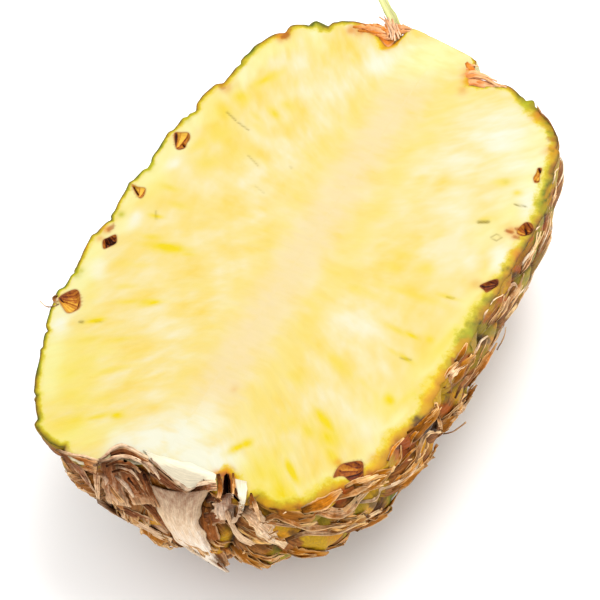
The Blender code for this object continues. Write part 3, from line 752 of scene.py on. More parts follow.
def lineGap(places, start, end):
    # Distance from each place to the line between two points
    start, span = np.array(start), np.array(end) - np.array(start)
    share = np.clip(((places - start) @ span) / (span @ span), 0.0, 1.0)
    return np.linalg.norm(places - start - share[:, None] * span, axis=1)


def offsetLoop(loop, distance, outward=False):
    # The loop moved to one side, without the points that come too near it again
    ahead = unit(np.roll(loop, -1, 0) - np.roll(loop, 1, 0))
    aside = np.stack([-ahead[:, 1], ahead[:, 0]], axis=1)
    if insideLoop((loop + aside * 0.05)[:1], loop)[0] == outward:
        aside = -aside
    moved = loop + aside * distance
    keep = (insideLoop(moved, loop) != outward) & (loopGap(moved, loop) > 0.8 * distance)
    return moved[keep]


def hexGrid(low, high, spacing):
    rows = []
    for number, y in enumerate(np.arange(low[1], high[1], spacing * math.sqrt(0.75))):
        x = np.arange(low[0], high[0], spacing) + 0.5 * spacing * (number % 2)
        rows.append(np.stack([x, np.full(len(x), y)], axis=1))
    return np.concatenate(rows)


def fibreFrame(x, y):
    # Label of the fibre that passes through each point, its distance out from the core and slope
    offCore = x - np.interp(y, *zip(*flesh["coreMiddle"]))
    out = np.abs(offCore) - flesh["fibreStart"]
    middle = np.where(offCore > 0.0, flesh["fanMiddles"][1], flesh["fanMiddles"][0])
    slope = flesh["fan"] * np.tanh((y - middle) / flesh["fanLength"])
    return y - slope * np.maximum(out, 0.0), out, slope


def patchShare(x, y, slope, warp, patches):
    # The patches' ragged ellipses, each turned along the fibres at its middle
    total = np.zeros(len(x))
    for px, py, half, width, strength in patches:
        near = np.flatnonzero(np.hypot(x - px, y - py) < 2.6 * max(half, width))
        if len(near) == 0:
            continue
        tilt = slope[near[np.argmin(np.hypot(x[near] - px, y[near] - py))]]
        along = unit(np.array([[math.copysign(1.0, px), tilt]]))[0]
        reach = (x[near] - px) * along[0] + (y[near] - py) * along[1]
        aside = -(x[near] - px) * along[1] + (y[near] - py) * along[0]
        ragged = np.hypot(reach / half, aside / width) * (1.0 + 0.5 * warp[near])
        total[near] = np.maximum(total[near], strength * bell(ragged, 0.95))
    return total


def spotShare(x, y, warp, spots):
    total = np.zeros(len(x))
    for px, py, radius, strength in spots:
        gap = np.hypot(x - px, y - py) * (1.0 + 0.5 * warp)
        total = np.maximum(total, strength * bell(gap, radius))
    return total


def cutFace(rim):
    outlines = [smoothLoop(eye["outline"], 8) for eye in cutEyes]
    rings = [offsetLoop(rim, distance) for distance in flesh["rimRings"]]
    grid = hexGrid(rim.min(axis=0), rim.max(axis=0), flesh["pointSpacing"])
    grid = grid[insideLoop(grid, rim)]
    grid = grid[loopGap(grid, rim) > flesh["rimRings"][-1] + 0.5 * flesh["pointSpacing"]]
    for outline in outlines:
        grid = grid[loopGap(grid, outline) > flesh["eyeRings"][-1] + 0.4 * flesh["pointSpacing"]]
        rings = [ring[loopGap(ring, outline) > 0.9] for ring in rings]
    for outline in outlines:
        for distance in flesh["eyeRings"]:
            ring = offsetLoop(outline, distance, True)[::2]
            rings.append(ring[insideLoop(ring, rim)])
    points = np.concatenate([rim, *outlines, *rings, grid])
    edges = []
    start = 0
    for loop in (rim, *outlines):
        edges += [(start + number, start + (number + 1) % len(loop)) for number in range(len(loop))]
        start += len(loop)
    found = delaunay_2d_cdt([Vector(point) for point in points.tolist()], edges, [], 0, 1e-4)
    places = np.array([tuple(point) for point in found[0]])
    faces = np.array(found[2])
    middles = places[faces].mean(axis=1)
    keep = insideLoop(middles, rim)
    for outline in outlines:
        keep &= ~insideLoop(middles, outline)
    used, faces = np.unique(faces[keep], return_inverse=True)
    return places[used], faces.reshape(-1, 3), outlines


def fleshMasks(places, rim, outlines):
    x, y = places[:, 0], places[:, 1]
    flat = np.stack([x, y, np.zeros(len(x))], axis=1)
    label, out, slope = fibreFrame(x, y)
    fibre = np.stack([label, out, np.where(x > 0.0, 40.0, 0.0)], axis=1)
    warp = 0.7 * softNoise(fibre / (2.2, 7.0, 1.0), 1.0, 0.7) + 0.6 * softNoise(flat, 5.0)
    offCore = x - np.interp(y, *zip(*flesh["coreMiddle"]))
    ends = flesh["coreEnds"]
    along = smoothStep(ends[0], ends[1], y) * (1.0 - smoothStep(ends[2], ends[3], y))
    band = np.zeros(len(x))
    for middle, width, strength, low, high in coreBands:
        reach = smoothStep(low - 6.0, low + 6.0, y) * (1.0 - smoothStep(high - 8.0, high + 8.0, y))
        band = np.maximum(band, strength * bell(offCore - middle, width * (1.0 + 0.4 * warp)) * reach)
    width, ripe, _ = rimLook(x, y)
    rimGap = loopGap(places, rim)
    rimDepth = rimGap / width * (1.0 + (0.4 + 0.6 * ripe) * 0.35 * softNoise(flat, 7.0, 3.3))
    lemonRim = smoothStep(0.9, 1.3, rimDepth) * (1.0 - smoothStep(4.5, 9.5, rimGap * (1.0 + 0.3 * warp)))
    low, full, fading, high = flesh["lemonAlong"]
    pale = smoothStep(low, full, y) * (1.0 - smoothStep(fading, high, y))
    low, full, fading, high = flesh["rootAcross"]
    atRoot = smoothStep(low, full, x) * (1.0 - smoothStep(fading, high, x)) * (y < -60.0)
    masks = {
        "core": (1.0 - smoothStep(*flesh["coreHalf"], np.abs(offCore) * (1.0 + 0.35 * warp))) * along,
        "coreBand": band,
        "yellow": patchShare(x, y, slope, warp, yellowPatches),
        "white": np.maximum(
            patchShare(x, y, slope, warp, whitePatches), spotShare(x, y, 0.6 * warp, stemWhite)
        ),
        "zest": patchShare(x, y, slope, warp, zestPatches),
        "lemon": np.maximum(patchShare(x, y, slope, 0.5 * warp, lemonPatches), 0.55 * lemonRim * pale),
        "rimDepth": np.clip(rimDepth, 0.0, 2.0),
        "ripe": ripe,
        "orange": spotShare(x, y, warp, orangeStains),
        "green": spotShare(x, y, warp, greenStains),
        "rootRim": atRoot * (1.0 - smoothStep(*flesh["rootRim"], rimGap)),
        **skinShares(flat),
    }
    hollowEdge = np.zeros(len(x))
    for eye, outline in zip(cutEyes, outlines):
        gap = loopGap(places, outline)
        hollowEdge = np.maximum(hollowEdge, eye["halo"] * (1.0 - smoothStep(0.0, 0.45, gap)))
    masks["hollowEdge"] = hollowEdge
    marks = np.zeros(len(x))
    for start, end, half, strength in fleshMarks:
        marks = np.maximum(marks, strength * bell(lineGap(places, start, end), half))
    masks["mark"] = marks
    masks["fibre"] = fibre
    return masks


fleshLook = {
    "streaks": ((9.0, 13.0), (3.2, 8.0), (0.9, 7.0)),  # mm across and along the fibres
    "clouds": ((0.0, "#bea54c"), (1.0, "#beb38c"), (0.5, "#beac6c")),
    "scallop": 2.4,  # mm, of the inner edge of the rim's band
    "riperPatch": 4.5,  # mm, of riper skin along the rim
    "greenRim": ((0.0, "#363e0a"), (1.0, "#beb85a"), (0.2, "#5c600e"), (0.45, "#88831a"), (0.72, "#aea22a")),
    "ripeRim": ((0.0, "#4a240c"), (1.0, "#bdb03c"), (0.09, "#8a4c10"), (0.26, "#b07a10"), (0.6, "#ba9c0c")),
    "bump": 0.12,  # mm
}
# What lies over the clouds: mask, colour, strength and whether the streaks mottle it. The rim's
# band has a tone of its own.
fleshLayers = (
    ("core", "#bdab80", 0.8, True), ("coreBand", "#beab5c", 0.65, True), ("zest", "#beb35c", 0.8, True),
    ("lemon", "#bfbe86", 0.9, True), ("white", "#bebca8", 1.05, True), ("yellow", "#bca60e", 1.15, True),
    ("rim", "", 1.0, False), ("rootRim", "#b8ab90", 0.95, False), ("orange", "#b06a16", 0.85, True),
    ("green", "#94920e", 0.9, False), ("goldSkin", "#aa7a08", 0.85, False),
    ("oliveSkin", "#80700a", 0.85, False), ("redSkin", "#844010", 0.85, False),
    ("darkSkin", "#38200e", 0.9, False), ("hollowEdge", "#8a4c12", 0.9, False),
    ("mark", "#665810", 1.0, False),
)


def fleshMaterial():
    # Fresh pineapple flesh, cut with a knife: juicy and slightly see-through, so light spreads a
    # few millimetres in it, with soft clouds and streaks along the fibres and a thin wet shine.
    made, tree, shader = newMaterial("pineappleFlesh")
    masks = ("rimDepth", "ripe", *(mask for mask, *_ in fleshLayers if mask != "rim"))
    read = {mask: addNode(tree, "Attribute", {}, {"attribute_name": mask}, output="Fac") for mask in masks}
    fibre = addNode(tree, "Attribute", {}, {"attribute_name": "fibre"}, output="Vector")
    streaks = []
    for width, length in fleshLook["streaks"]:
        scaled = addNode(tree, "VectorMath", {0: fibre, 1: (1.0 / width, 1.0 / length, 1.0)}, multiply)
        streaks.append(addNode(
            tree, "TexNoise", {"Vector": scaled, "Scale": 1.0, "Detail": 2.5, "Roughness": 0.55}
        ))
    mixed = addNode(tree, "Math", {0: streaks[1], 1: 0.3, 2: streaks[0]}, multiplyAdd)
    clouds = addNode(tree, "MapRange", {0: mixed, "From Min": 0.45, "From Max": 0.85})
    middling = {"From Min": 0.3, "From Max": 0.7}
    mottle = addNode(tree, "MapRange", {0: streaks[1], **middling, "To Min": 0.75, "To Max": 1.35})
    tone = addNode(tree, "ValToRGB", {0: clouds}, stops=fleshLook["clouds"])
    place = addNode(tree, "TexCoord", {}, output="Object")
    tear = addNode(tree, "TexNoise", {
        "Vector": place, "Scale": 1 / (fleshLook["scallop"] * mm), "Detail": 4.0, "Roughness": 0.6,
    })
    patch = addNode(tree, "TexNoise", {
        "Vector": place, "Scale": 1 / (fleshLook["riperPatch"] * mm), "Detail": 2.0,
    })
    torn = addNode(
        tree, "MapRange", {0: tear, "From Min": 0.25, "From Max": 0.75, "To Min": -0.35, "To Max": 0.35}
    )
    thinner = addNode(tree, "MapRange", {0: read["rimDepth"], "To Min": 0.2})
    depth = addNode(tree, "Math", {0: torn, 1: thinner, 2: read["rimDepth"]}, multiplyAdd)
    riper = addNode(tree, "MapRange", {0: patch, **middling, "To Min": -0.3, "To Max": 0.3})
    ripe = addNode(tree, "Math", {0: read["ripe"], 1: riper}, {"operation": "ADD", "use_clamp": True})
    read["rim"] = addNode(
        tree, "MapRange", {0: depth, "From Min": 0.55, "From Max": 1.15, "To Min": 1.0, "To Max": 0.0},
        {"interpolation_type": "SMOOTHSTEP"},
    )
    greenBand = addNode(tree, "ValToRGB", {0: depth}, stops=fleshLook["greenRim"])
    ripeBand = addNode(tree, "ValToRGB", {0: depth}, stops=fleshLook["ripeRim"])
    rimTone = addNode(tree, "Mix", {0: ripe, 6: greenBand, 7: ripeBand}, colourMix, output=2)
    for mask, colour, strength, isMottled in fleshLayers:
        share = addNode(tree, "Math", {0: read[mask], 1: strength}, multiply)
        if isMottled:
            share = addNode(tree, "Math", {0: share, 1: mottle}, {**multiply, "use_clamp": True})
        colour = hexColour(colour) if colour else rimTone
        tone = addNode(tree, "Mix", {0: share, 6: tone, 7: colour}, colourMix, output=2)
    bump = addNode(tree, "Bump", {"Strength": 0.35, "Distance": fleshLook["bump"] * mm, "Height": streaks[2]})
    shader.subsurface_method = "BURLEY"
    setInputs(tree, shader, {
        "Base Color": tone,
        "Roughness": 0.42,
        "IOR": 1.36,  # of sugary juice
        "Specular IOR Level": 0.2,
        "Subsurface Weight": 0.15,
        "Subsurface Radius": (1.0, 0.6, 0.25),
        "Subsurface Scale": 1.2 * mm,
        "Normal": bump,
    })
    return made


def cutFlesh(shell, loop):
    rim = shell[loop][:, :2]
    places, faces, outlines = cutFace(rim)
    masks = fleshMasks(places, rim, outlines)
    rimGap = loopGap(places, rim)
    width, _, fall = rimLook(places[:, 0], places[:, 1])
    level = smoothStep(0.0, 3.0, rimGap)
    for outline in outlines:
        level = level * smoothStep(0.0, 1.0, loopGap(places, outline))
    flat = np.stack([places[:, 0], places[:, 1], np.zeros(len(places))], axis=1)
    ripple = 0.5 * softNoise(flat, 14.0) + 0.3 * softNoise(masks["fibre"] / (1.8, 9.0, 1.0), 1.0)
    flat[:, 2] = flesh["unevenness"] * ripple * level - 0.25 * masks["mark"] * level
    flat[:, 2] -= fall * (1.0 - np.minimum(rimGap / width, 1.0)) ** 2
    makePiece("cutFlesh", flat, faces.tolist(), fleshMaterial(), masks)
    return outlines, flat, faces.tolist()


# Eyes of the fruit that the knife cut open

# Each outline on the face, its depth, the brown line round it, the place that its ribs run from,
# the tone of each panel between two ribs (0 golden to 1 nearly black), and slots pressed into it
# and painted nearly black as painted shade, as two ends and a half width
cutEyes = (
    {
        "outline": (
            (-62.3, 28), (-60.5, 29), (-58.2, 29.8), (-56.6, 28.1), (-56.4, 25.9), (-56.1, 24),
            (-58.1, 22.7), (-60.6, 25.3),
        ),
        "depth": 1.3, "halo": 0.9, "apex": (-58.6, 22), "panels": (0.75, 0.3, 0.42, 0.02, 0.1),
        "slots": (((-61.8, 28), (-59.4, 23.6), 0.5), ((-58, 25.8), (-56.8, 25.2), 0.35)),
    },
    {
        "outline": ((-64, 4.6), (-61.7, 4.7), (-59.2, 5.1), (-58.1, 2.1), (-59.4, 1.3)), "depth": 0.8,
        "halo": 0.75, "apex": (-59.2, 0.8), "panels": (0.1, 0.35, 0, 0.15),
        "slots": (((-63.2, 4.3), (-60.2, 2.2), 0.3),),
    },
    {
        "outline": (
            (-60.7, -17.6), (-59.8, -16.2), (-58.3, -14.3), (-57, -15.4), (-56.3, -17.1), (-57.3, -18.9),
            (-58.6, -20.4), (-59.8, -19.4),
        ),
        "depth": 1.4, "halo": 0.8, "apex": (-61.6, -15.6), "panels": (0.52, 0.74, 0.66, 0.86, 0.62, 0.5),
        "slots": (((-60, -17.4), (-57.2, -16.6), 0.45),),
    },
    {
        "outline": (
            (-61.6, -41.8), (-60, -38.9), (-58.3, -37.4), (-56.4, -38.3), (-53.6, -42.3), (-54.2, -44.6),
            (-55.9, -46), (-58.3, -44.9), (-60.8, -43.2),
        ),
        "depth": 1.5, "halo": 0.9, "apex": (-62.2, -42.2),
        "panels": (0.12, 0, 0.08, 0.3, 0.15, 0.38, 0.25, 0.48, 0.4, 0.52),
        "slots": (((-61.4, -42.2), (-60.2, -42.6), 0.45), ((-54.8, -41.2), (-54.4, -44), 0.4)),
    },
    {
        "outline": (
            (51.7, 61.3), (53, 61.6), (53.7, 58.9), (54.6, 56.7), (53.4, 55.9), (52.2, 57.4), (52.1, 59.3),
        ),
        "depth": 0.7, "halo": 0.5, "apex": (53, 54.6), "panels": (0.25, 0.12, 0.3),
        "slots": (((52.2, 61.2), (52.9, 60.6), 0.5), ((53.4, 56.6), (54, 56.9), 0.35)),
    },
    {
        "outline": (
            (57.4, 36.9), (57.3, 38.8), (58.1, 41.2), (59.8, 41.6), (61.4, 40.2), (61.3, 38), (59.9, 36.5),
            (58.6, 36.2),
        ),
        "depth": 1.1, "halo": 0.7, "apex": (63.4, 38.6), "panels": (0.5, 0.62, 0.36, 0.54, 0.3, 0.46),
        "slots": (((58.6, 39.8), (60.4, 37.6), 0.5),),
    },
    {
        "outline": (
            (56.7, 14.5), (58, 16.7), (60.3, 18.9), (61.4, 17.5), (61, 15.7), (59.8, 13.3), (58.5, 13.7),
        ),
        "depth": 1, "halo": 0.7, "apex": (62.4, 18.6), "panels": (0.6, 0.74, 0.66, 0.76, 0.58), "slots": (),
    },
    {
        "outline": (
            (50.3, -63.5), (49.9, -59.5), (51.7, -57.3), (55.3, -55.3), (57.6, -58.5), (58.4, -60.9),
            (55.5, -62.4), (53.1, -62), (51.6, -62.6),
        ),
        "depth": 1.3, "halo": 0.7, "apex": (59, -56.4), "panels": (0.5, 0.66, 0.4, 0.58, 0.78, 0.48, 0.62),
        "slots": (),
    },
)
hollow = {
    "rings": 15,
    "ribWidth": 0.17,
    "ribRise": 0.25,
    "slotDepth": 0.9,
}


def panelLook(eye, outline, places):
    # The tone of the panel that each place is in, and how near it is to a rib
    apex = np.array(eye["apex"])
    ahead = unit((outline.mean(axis=0) - apex)[None])[0]
    turn = [
        np.arctan2(ahead[0] * (spots - apex)[:, 1] - ahead[1] * (spots - apex)[:, 0], (spots - apex) @ ahead)
        for spots in (outline, places)
    ]
    count = len(eye["panels"])
    low, high = turn[0].min(), turn[0].max()
    number = np.clip((turn[1] - low) / (high - low) * count, 0.0, count - 1e-6)
    toRib = np.abs(number - np.round(number)) * (high - low) / count * np.linalg.norm(places - apex, axis=1)
    return np.array(eye["panels"])[number.astype(int)], bell(toRib, hollow["ribWidth"])


def eyeHollows(outlines):
    vertices, faces = [], []
    masks = {"deep": [], "dark": [], "grain": []}
    for number, (eye, outline) in enumerate(zip(cutEyes, outlines)):
        middle = outline.mean(axis=0)
        first = len(vertices)
        count = len(outline)
        for share in np.linspace(1.0, 0.06, hollow["rings"]):
            deep = float(smoothStep(0.0, 0.45, 1.0 - share))
            places = middle + (outline - middle) * share
            tone, rib = panelLook(eye, outline, places)
            dark = tone + 0.35 * rib
            lift = -eye["depth"] * deep * (0.7 + 0.6 * tone) + hollow["ribRise"] * rib * deep
            # Slots: pressed in and painted nearly black, painted shade in the narrow openings
            for start, end, half in eye["slots"]:
                slot = bell(lineGap(places, start, end), half)
                dark = np.maximum(dark, 1.1 * slot)
                lift = lift - hollow["slotDepth"] * slot * deep
            vertices += np.column_stack([places, lift]).tolist()
            masks["deep"] += [deep] * count
            masks["dark"] += dark.tolist()
            masks["grain"] += [(x, y, 5.0 * number) for x, y in places.tolist()]
        for ring in range(hollow["rings"] - 1):
            for step in range(count):
                near = first + ring * count
                far = near + count
                after = (step + 1) % count
                faces.append((near + step, near + after, far + after, far + step))
        faces.append(tuple(first + (hollow["rings"] - 1) * count + step for step in range(count)))
    return makePiece("eyeHollows", vertices, faces, hollowMaterial(), masks)


hollowTones = ((0.0, "#d8ac3c"), (1.0, "#240a02"), (0.30, "#c08a26"), (0.56, "#9c560e"), (0.80, "#642606"))


def hollowMaterial():
    # Dried flower chambers of the fruit, grown: thin golden brown skins that meet in darker ribs
    made, tree, shader = newMaterial("driedFlowerChamber")
    masks = ("dark", "deep")
    read = {mask: addNode(tree, "Attribute", {}, {"attribute_name": mask}, output="Fac") for mask in masks}
    grain = addNode(tree, "Attribute", {}, {"attribute_name": "grain"}, output="Vector")
    speck = addNode(
        tree, "TexNoise", {"Vector": grain, "Scale": 1 / 0.9, "Detail": 3.0, "Roughness": 0.6}
    )  # 0.9 mm specks
    brown = addNode(tree, "Math", {0: speck, 1: 0.7, 2: read["dark"]}, multiplyAdd)
    brown = addNode(tree, "MapRange", {0: brown, "From Min": 0.2, "From Max": 1.35})
    tone = addNode(tree, "ValToRGB", {0: brown}, stops=hollowTones)
    edge = addNode(
        tree, "MapRange", {0: read["deep"], "From Min": 0.0, "From Max": 0.3, "To Min": 0.6, "To Max": 0.0}
    )
    tone = addNode(tree, "Mix", {0: edge, 6: tone, 7: hexColour("#6a3408")}, colourMix, output=2)
    bump = addNode(tree, "Bump", {"Strength": 0.6, "Distance": 0.2 * mm, "Height": speck})
    setInputs(tree, shader, {
        "Base Color": tone, "Roughness": 0.6, "IOR": 1.4, "Specular IOR Level": 0.3, "Normal": bump,
    })
    return made


# Dry papery leaves

def gridFaces(rows, columns, first=0):
    faces = []
    for row in range(rows - 1):
        for column in range(columns - 1):
            corner = first + row * columns + column
            faces.append((corner, corner + 1, corner + columns + 1, corner + columns))
    return faces


def smoothPath(points, count):
    # Points of a smooth curve through the given ones
    points = np.array(points, float)
    knots = np.concatenate([[2.0 * points[0] - points[1]], points, [2.0 * points[-1] - points[-2]]])
    place = np.linspace(0.0, len(points) - 1.0, count)
    number = np.minimum(place.astype(int), len(points) - 2)
    share = (place - number)[:, None]
    return curvePoint(*(knots[number + step] for step in range(4)), share)


def readEvenly(values, share):
    return np.interp(share, np.linspace(0.0, 1.0, len(values)), values)


def newStore():
    return {"vertices": [], "faces": [], "along": [], "across": [], "tint": [], "warmth": [], "grain": []}


def storeGrid(store, points, use, length, width):
    # Keeps a grid of points as one leaf, with what its material reads
    rows, columns = points.shape[:2]
    first = len(store["vertices"])
    share = np.repeat(np.linspace(0.0, 1.0, rows), columns)
    place = np.tile(np.linspace(-1.0, 1.0, columns), rows)
    store["vertices"] += points.reshape(-1, 3).tolist()
    store["faces"] += gridFaces(rows, columns, first)
    store["along"] += share.tolist()
    store["across"] += place.tolist()
    store["tint"] += [use["tint"]] * (rows * columns)
    store["warmth"] += [use["warmth"]] * (rows * columns)
    grain = np.stack([0.5 * width * place, length * share, np.full(rows * columns, 3.0 * first)], axis=1)
    store["grain"] += grain.tolist()


paperLimits = {"top": 2.8, "bottom": 0.1}  # over the cut face and over the floor
bladeLook = {
    "rows": 18,
    "columns": 7,
    "lifts": (0.2, 0.7, 0.7),  # off what it lies on, from base to tip
    "cup": 0.3,  # how far the edges bend out
    "tilt": 0.0,  # how far one edge stands off
    "wave": 0.25,
    "crumple": 0.3,
    "crumpleSize": 3.5,
    "ragged": 0.25,
    "tint": 0.5,
    "warmth": 0.5,
}


def crumpled(points, outward, use, shift):
    flat = points.reshape(-1, 3)
    size = use["crumpleSize"]
    move = use["crumple"] * (softNoise(flat, size, shift) + 0.5 * softNoise(flat, 0.45 * size, shift))
    return points + outward * move.reshape(points.shape[:2])[..., None]


def bladeGrid(path, widths, outward, use, shift):
    # Points of a strip along a path, whose flat side faces outward
    rows, columns = use["rows"], use["columns"]
    share = np.linspace(0.0, 1.0, rows)
    place = np.linspace(-1.0, 1.0, columns)
    ahead = unit(np.gradient(path, axis=0))
    across = unit(np.cross(ahead, outward))
    width = readEvenly(widths, share)[:, None]
    edge = np.array([[noise.noise((9.0 * a, 3.0 * c, shift)) for c in place] for a in share])
    aside = 0.5 * width * place * (1.0 + use["ragged"] * edge * np.abs(place))
    lift = readEvenly(use["lifts"], share)[:, None] + use["cup"] * place ** 2 + use["tilt"] * place
    lift = lift + use["wave"] * np.sin(8.0 * share[:, None] + 2.5 * place + shift)
    return path[:, None, :] + across[:, None, :] * aside[..., None], lift


def layOnRind(points, lifts):
    # Moves points near the body onto the raised rind, each a little above it
    smooth = onBody(unit(points))
    place = eyeFrame(smooth, centres)
    shaped = raiseEyes(smooth, centres, place)
    shaped = shaped + place["normals"] * (lifts + closeGrooves(smooth, place))[:, None]
    shaped[:, 2] = np.clip(shaped[:, 2], 0.2 - body["depth"], None)
    return shaped


def layStrips(store, strips):
    # Strips that follow the rind: a spine near it, widths from base to tip, and a look
    grids = []
    for number, (spine, widths, look) in enumerate(strips):
        use = {**bladeLook, **look}
        path = onBody(unit(smoothPath(spine, use["rows"])))
        points, lift = bladeGrid(path, widths, bodyNormals(path), use, 3.7 * number + 1.3)
        grids.append((points, lift, use))
    flat = np.concatenate([points.reshape(-1, 3) for points, *_ in grids])
    lifts = np.concatenate([lift.ravel() for _, lift, _ in grids])
    lifts = lifts + 0.3 * softNoise(flat, bladeLook["crumpleSize"], 5.5) * smoothStep(0.0, 0.5, lifts)
    laid = layOnRind(flat, lifts)
    start = 0
    for (points, _, use), (spine, widths, _) in zip(grids, strips):
        count = points.shape[0] * points.shape[1]
        length = float(np.linalg.norm(np.diff(np.array(spine), axis=0), axis=1).sum())
        storeGrid(store, laid[start:start + count].reshape(points.shape), use, length, max(widths))
        start += count


def pixelRays(pixels):
    # Unit vectors from the camera through pixels of the photo's 600 x 600 frame
    right, up = np.array(view["right"]), np.array(view["up"])
    focal = view["lens"] / view["sensor"] * view["frameSize"]
    aside = (np.array(pixels, float) - 0.5 * view["frameSize"]) / focal
    return unit(right * aside[:, :1] - up * aside[:, 1:] - np.cross(right, up))


def fromPhoto(rind, pixels, lifts):
    # Where the photo's pixels meet the rind, each then moved toward the camera by its lift in mm.
    # A pixel just off the rind takes the place on its line that is nearest to it.
    camera = Vector(view["place"])
    found = []
    for ray, lift in zip(pixelRays(pixels), readEvenly(lifts, np.linspace(0.0, 1.0, len(pixels)))):
        ray = Vector(ray)
        hit = rind.ray_cast(camera, ray)[0]
        if hit is None:
            steps = [camera + ray * distance for distance in np.arange(820.0, 1120.0, 1.0)]
            hit = min(steps, key=lambda step: rind.find_nearest(step)[3])
        found.append(np.array(hit) - np.array(ray) * lift)
    return np.array(found)


def addStrip(store, path, widths, outward, use, shift):
    # A crumpled strip along a path, whose flat side faces outward
    points, lift = bladeGrid(path, widths, outward, {**use, "lifts": (0.0, 0.0)}, shift)
    points = crumpled(points + outward[:, None, :] * lift[..., None], outward[:, None, :], use, shift)
    length = float(np.linalg.norm(np.diff(path, axis=0), axis=1).sum())
    storeGrid(store, points, use, length, max(widths))


def addRibbon(store, rind, pixels, widths, look):
    # A strip that faces the camera along a path of photo pixels
    use = {**bladeLook, **look}
    path = smoothPath(fromPhoto(rind, pixels, use["lifts"]), use["rows"])
    outward = unit(np.array(view["place"]) - path)
    addStrip(store, path, widths, outward, use, 0.13 * len(store["vertices"]) + 1.7)


def addSheet(store, rind, edges, look):
    # A sheet between lines of photo pixels that run from its base to its tip
    use = {**bladeLook, **look}
    rows, columns = use["rows"], use["columns"]
    lines = [smoothPath(fromPhoto(rind, pixels, lifts), rows) for pixels, lifts in edges]
    points = np.stack([smoothPath([line[row] for line in lines], columns) for row in range(rows)])
    outward = unit(np.array(view["place"]) - points)
    share = np.linspace(0.0, 1.0, rows)[:, None]
    place = np.linspace(-1.0, 1.0, columns)
    shift = 0.13 * len(store["vertices"]) + 1.7
    fold = use["wave"] * np.sin(2.6 * math.pi * place + 3.0 * share + shift)
    fold = fold + use["cup"] * (1.0 - place ** 2)
    points = crumpled(points + outward * fold[..., None], outward, use, shift)
    ragged = np.array([[noise.noise((9.0 * a, shift, side)) for side in (0.0, 5.0)] for a in share[:, 0]])
    width = np.linalg.norm(points[:, -1] - points[:, 0], axis=1)
    toRight = unit(points[:, -1] - points[:, 0])
    for side, column in enumerate((0, -1)):
        points[:, column] += toRight * (use["ragged"] * width * ragged[:, side] * 0.3)[:, None]
    length = float(np.linalg.norm(np.diff(points[:, columns // 2], axis=0), axis=1).sum())
    storeGrid(store, points, use, length, float(width.max()))


def storePiece(name, store, material, thickness):
    masks = {mask: store[mask] for mask in ("along", "across", "tint", "warmth", "grain")}
    piece = makePiece(name, store["vertices"], store["faces"], material, masks)
    thicken(piece, thickness)
    top = fruitPlace[2] + paperLimits["top"] * mm
    for vertex in piece.data.vertices:
        # Nothing goes through the floor or stands far above the cut
        vertex.co.z = min(max(vertex.co.z, paperLimits["bottom"] * mm), top)
    return piece


def cutLevel(piece):
    # The knife cut the bracts level with the face
    cut = bmesh.new()
    cut.from_mesh(piece.data)
    bmesh.ops.bisect_plane(
        cut,
        geom=cut.verts[:] + cut.edges[:] + cut.faces[:],
        dist=1e-7,
        plane_co=(0.0, 0.0, fruitPlace[2]),
        plane_no=(0.0, 0.0, 1.0),
        clear_outer=True,
    )
    bmesh.ops.holes_fill(cut, edges=[edge for edge in cut.edges if edge.is_boundary], sides=0)
    cut.to_mesh(piece.data)
    cut.free()


# Each paper's name, tones from dark to light where it is greyish and where it is golden, the tone
# of its edges and how strong that is (partly its paler margin, partly painted highlight), how much
# its fibres stand out and how dark the painted shade at its base is, and how bleached its tip is
paperKinds = {
    "bract": (
        "dryBractPaper", ("#3a1a0e", "#90603e", "#caa080"), ("#381a03", "#9c5c0c", "#cc9434"),
        "#d0a268", 0.6, 0.5, 0.5,
    ),
    "shred": (
        "tornBractPaper", ("#341810", "#a4744e", "#f0dcc6"), ("#3c1c04", "#b46c16", "#ecc27a"),
        "#f0cc98", 0.5, 0.6, 0.5,
    ),
    "stem": (
        "dryStemPaper", ("#2c0e04", "#8a5436", "#e2cab0"), ("#3c1404", "#9c5a20", "#e0ae6c"),
        "#e2ba8c", 0.5, 0.6, 0.5,
    ),
    "flap": (
        "bleachedLeafPaper", ("#8a5236", "#dcc0a0", "#f2e8da"), ("#8a5236", "#dcc0a0", "#f2e8da"),
        "#d8b890", 0.6, 0.3, 1.4,
    ),
    "root": (
        "paleStemRoot", ("#b89a7a", "#d6cbb0", "#dfd4ba"), ("#b89a7a", "#d6cbb0", "#dfd4ba"),
        "#d6cbb0", 0.2, 0.2, 0.5,
    ),
    "salmon": (
        "crownLeafBase", ("#a8684a", "#cf9c78", "#e0c4a8"), ("#a85414", "#ca7a2c", "#e0b080"),
        "#dcb490", 0.4, 0.25, 0.5,
    ),
    "fresh": (
        "freshLeaf", ("#a4aa5c", "#c4c284", "#d2d29c"), ("#a4aa5c", "#c4c284", "#d2d29c"),
        "#a4aa5c", 0.5, 0.3, 0.5,
    ),
}


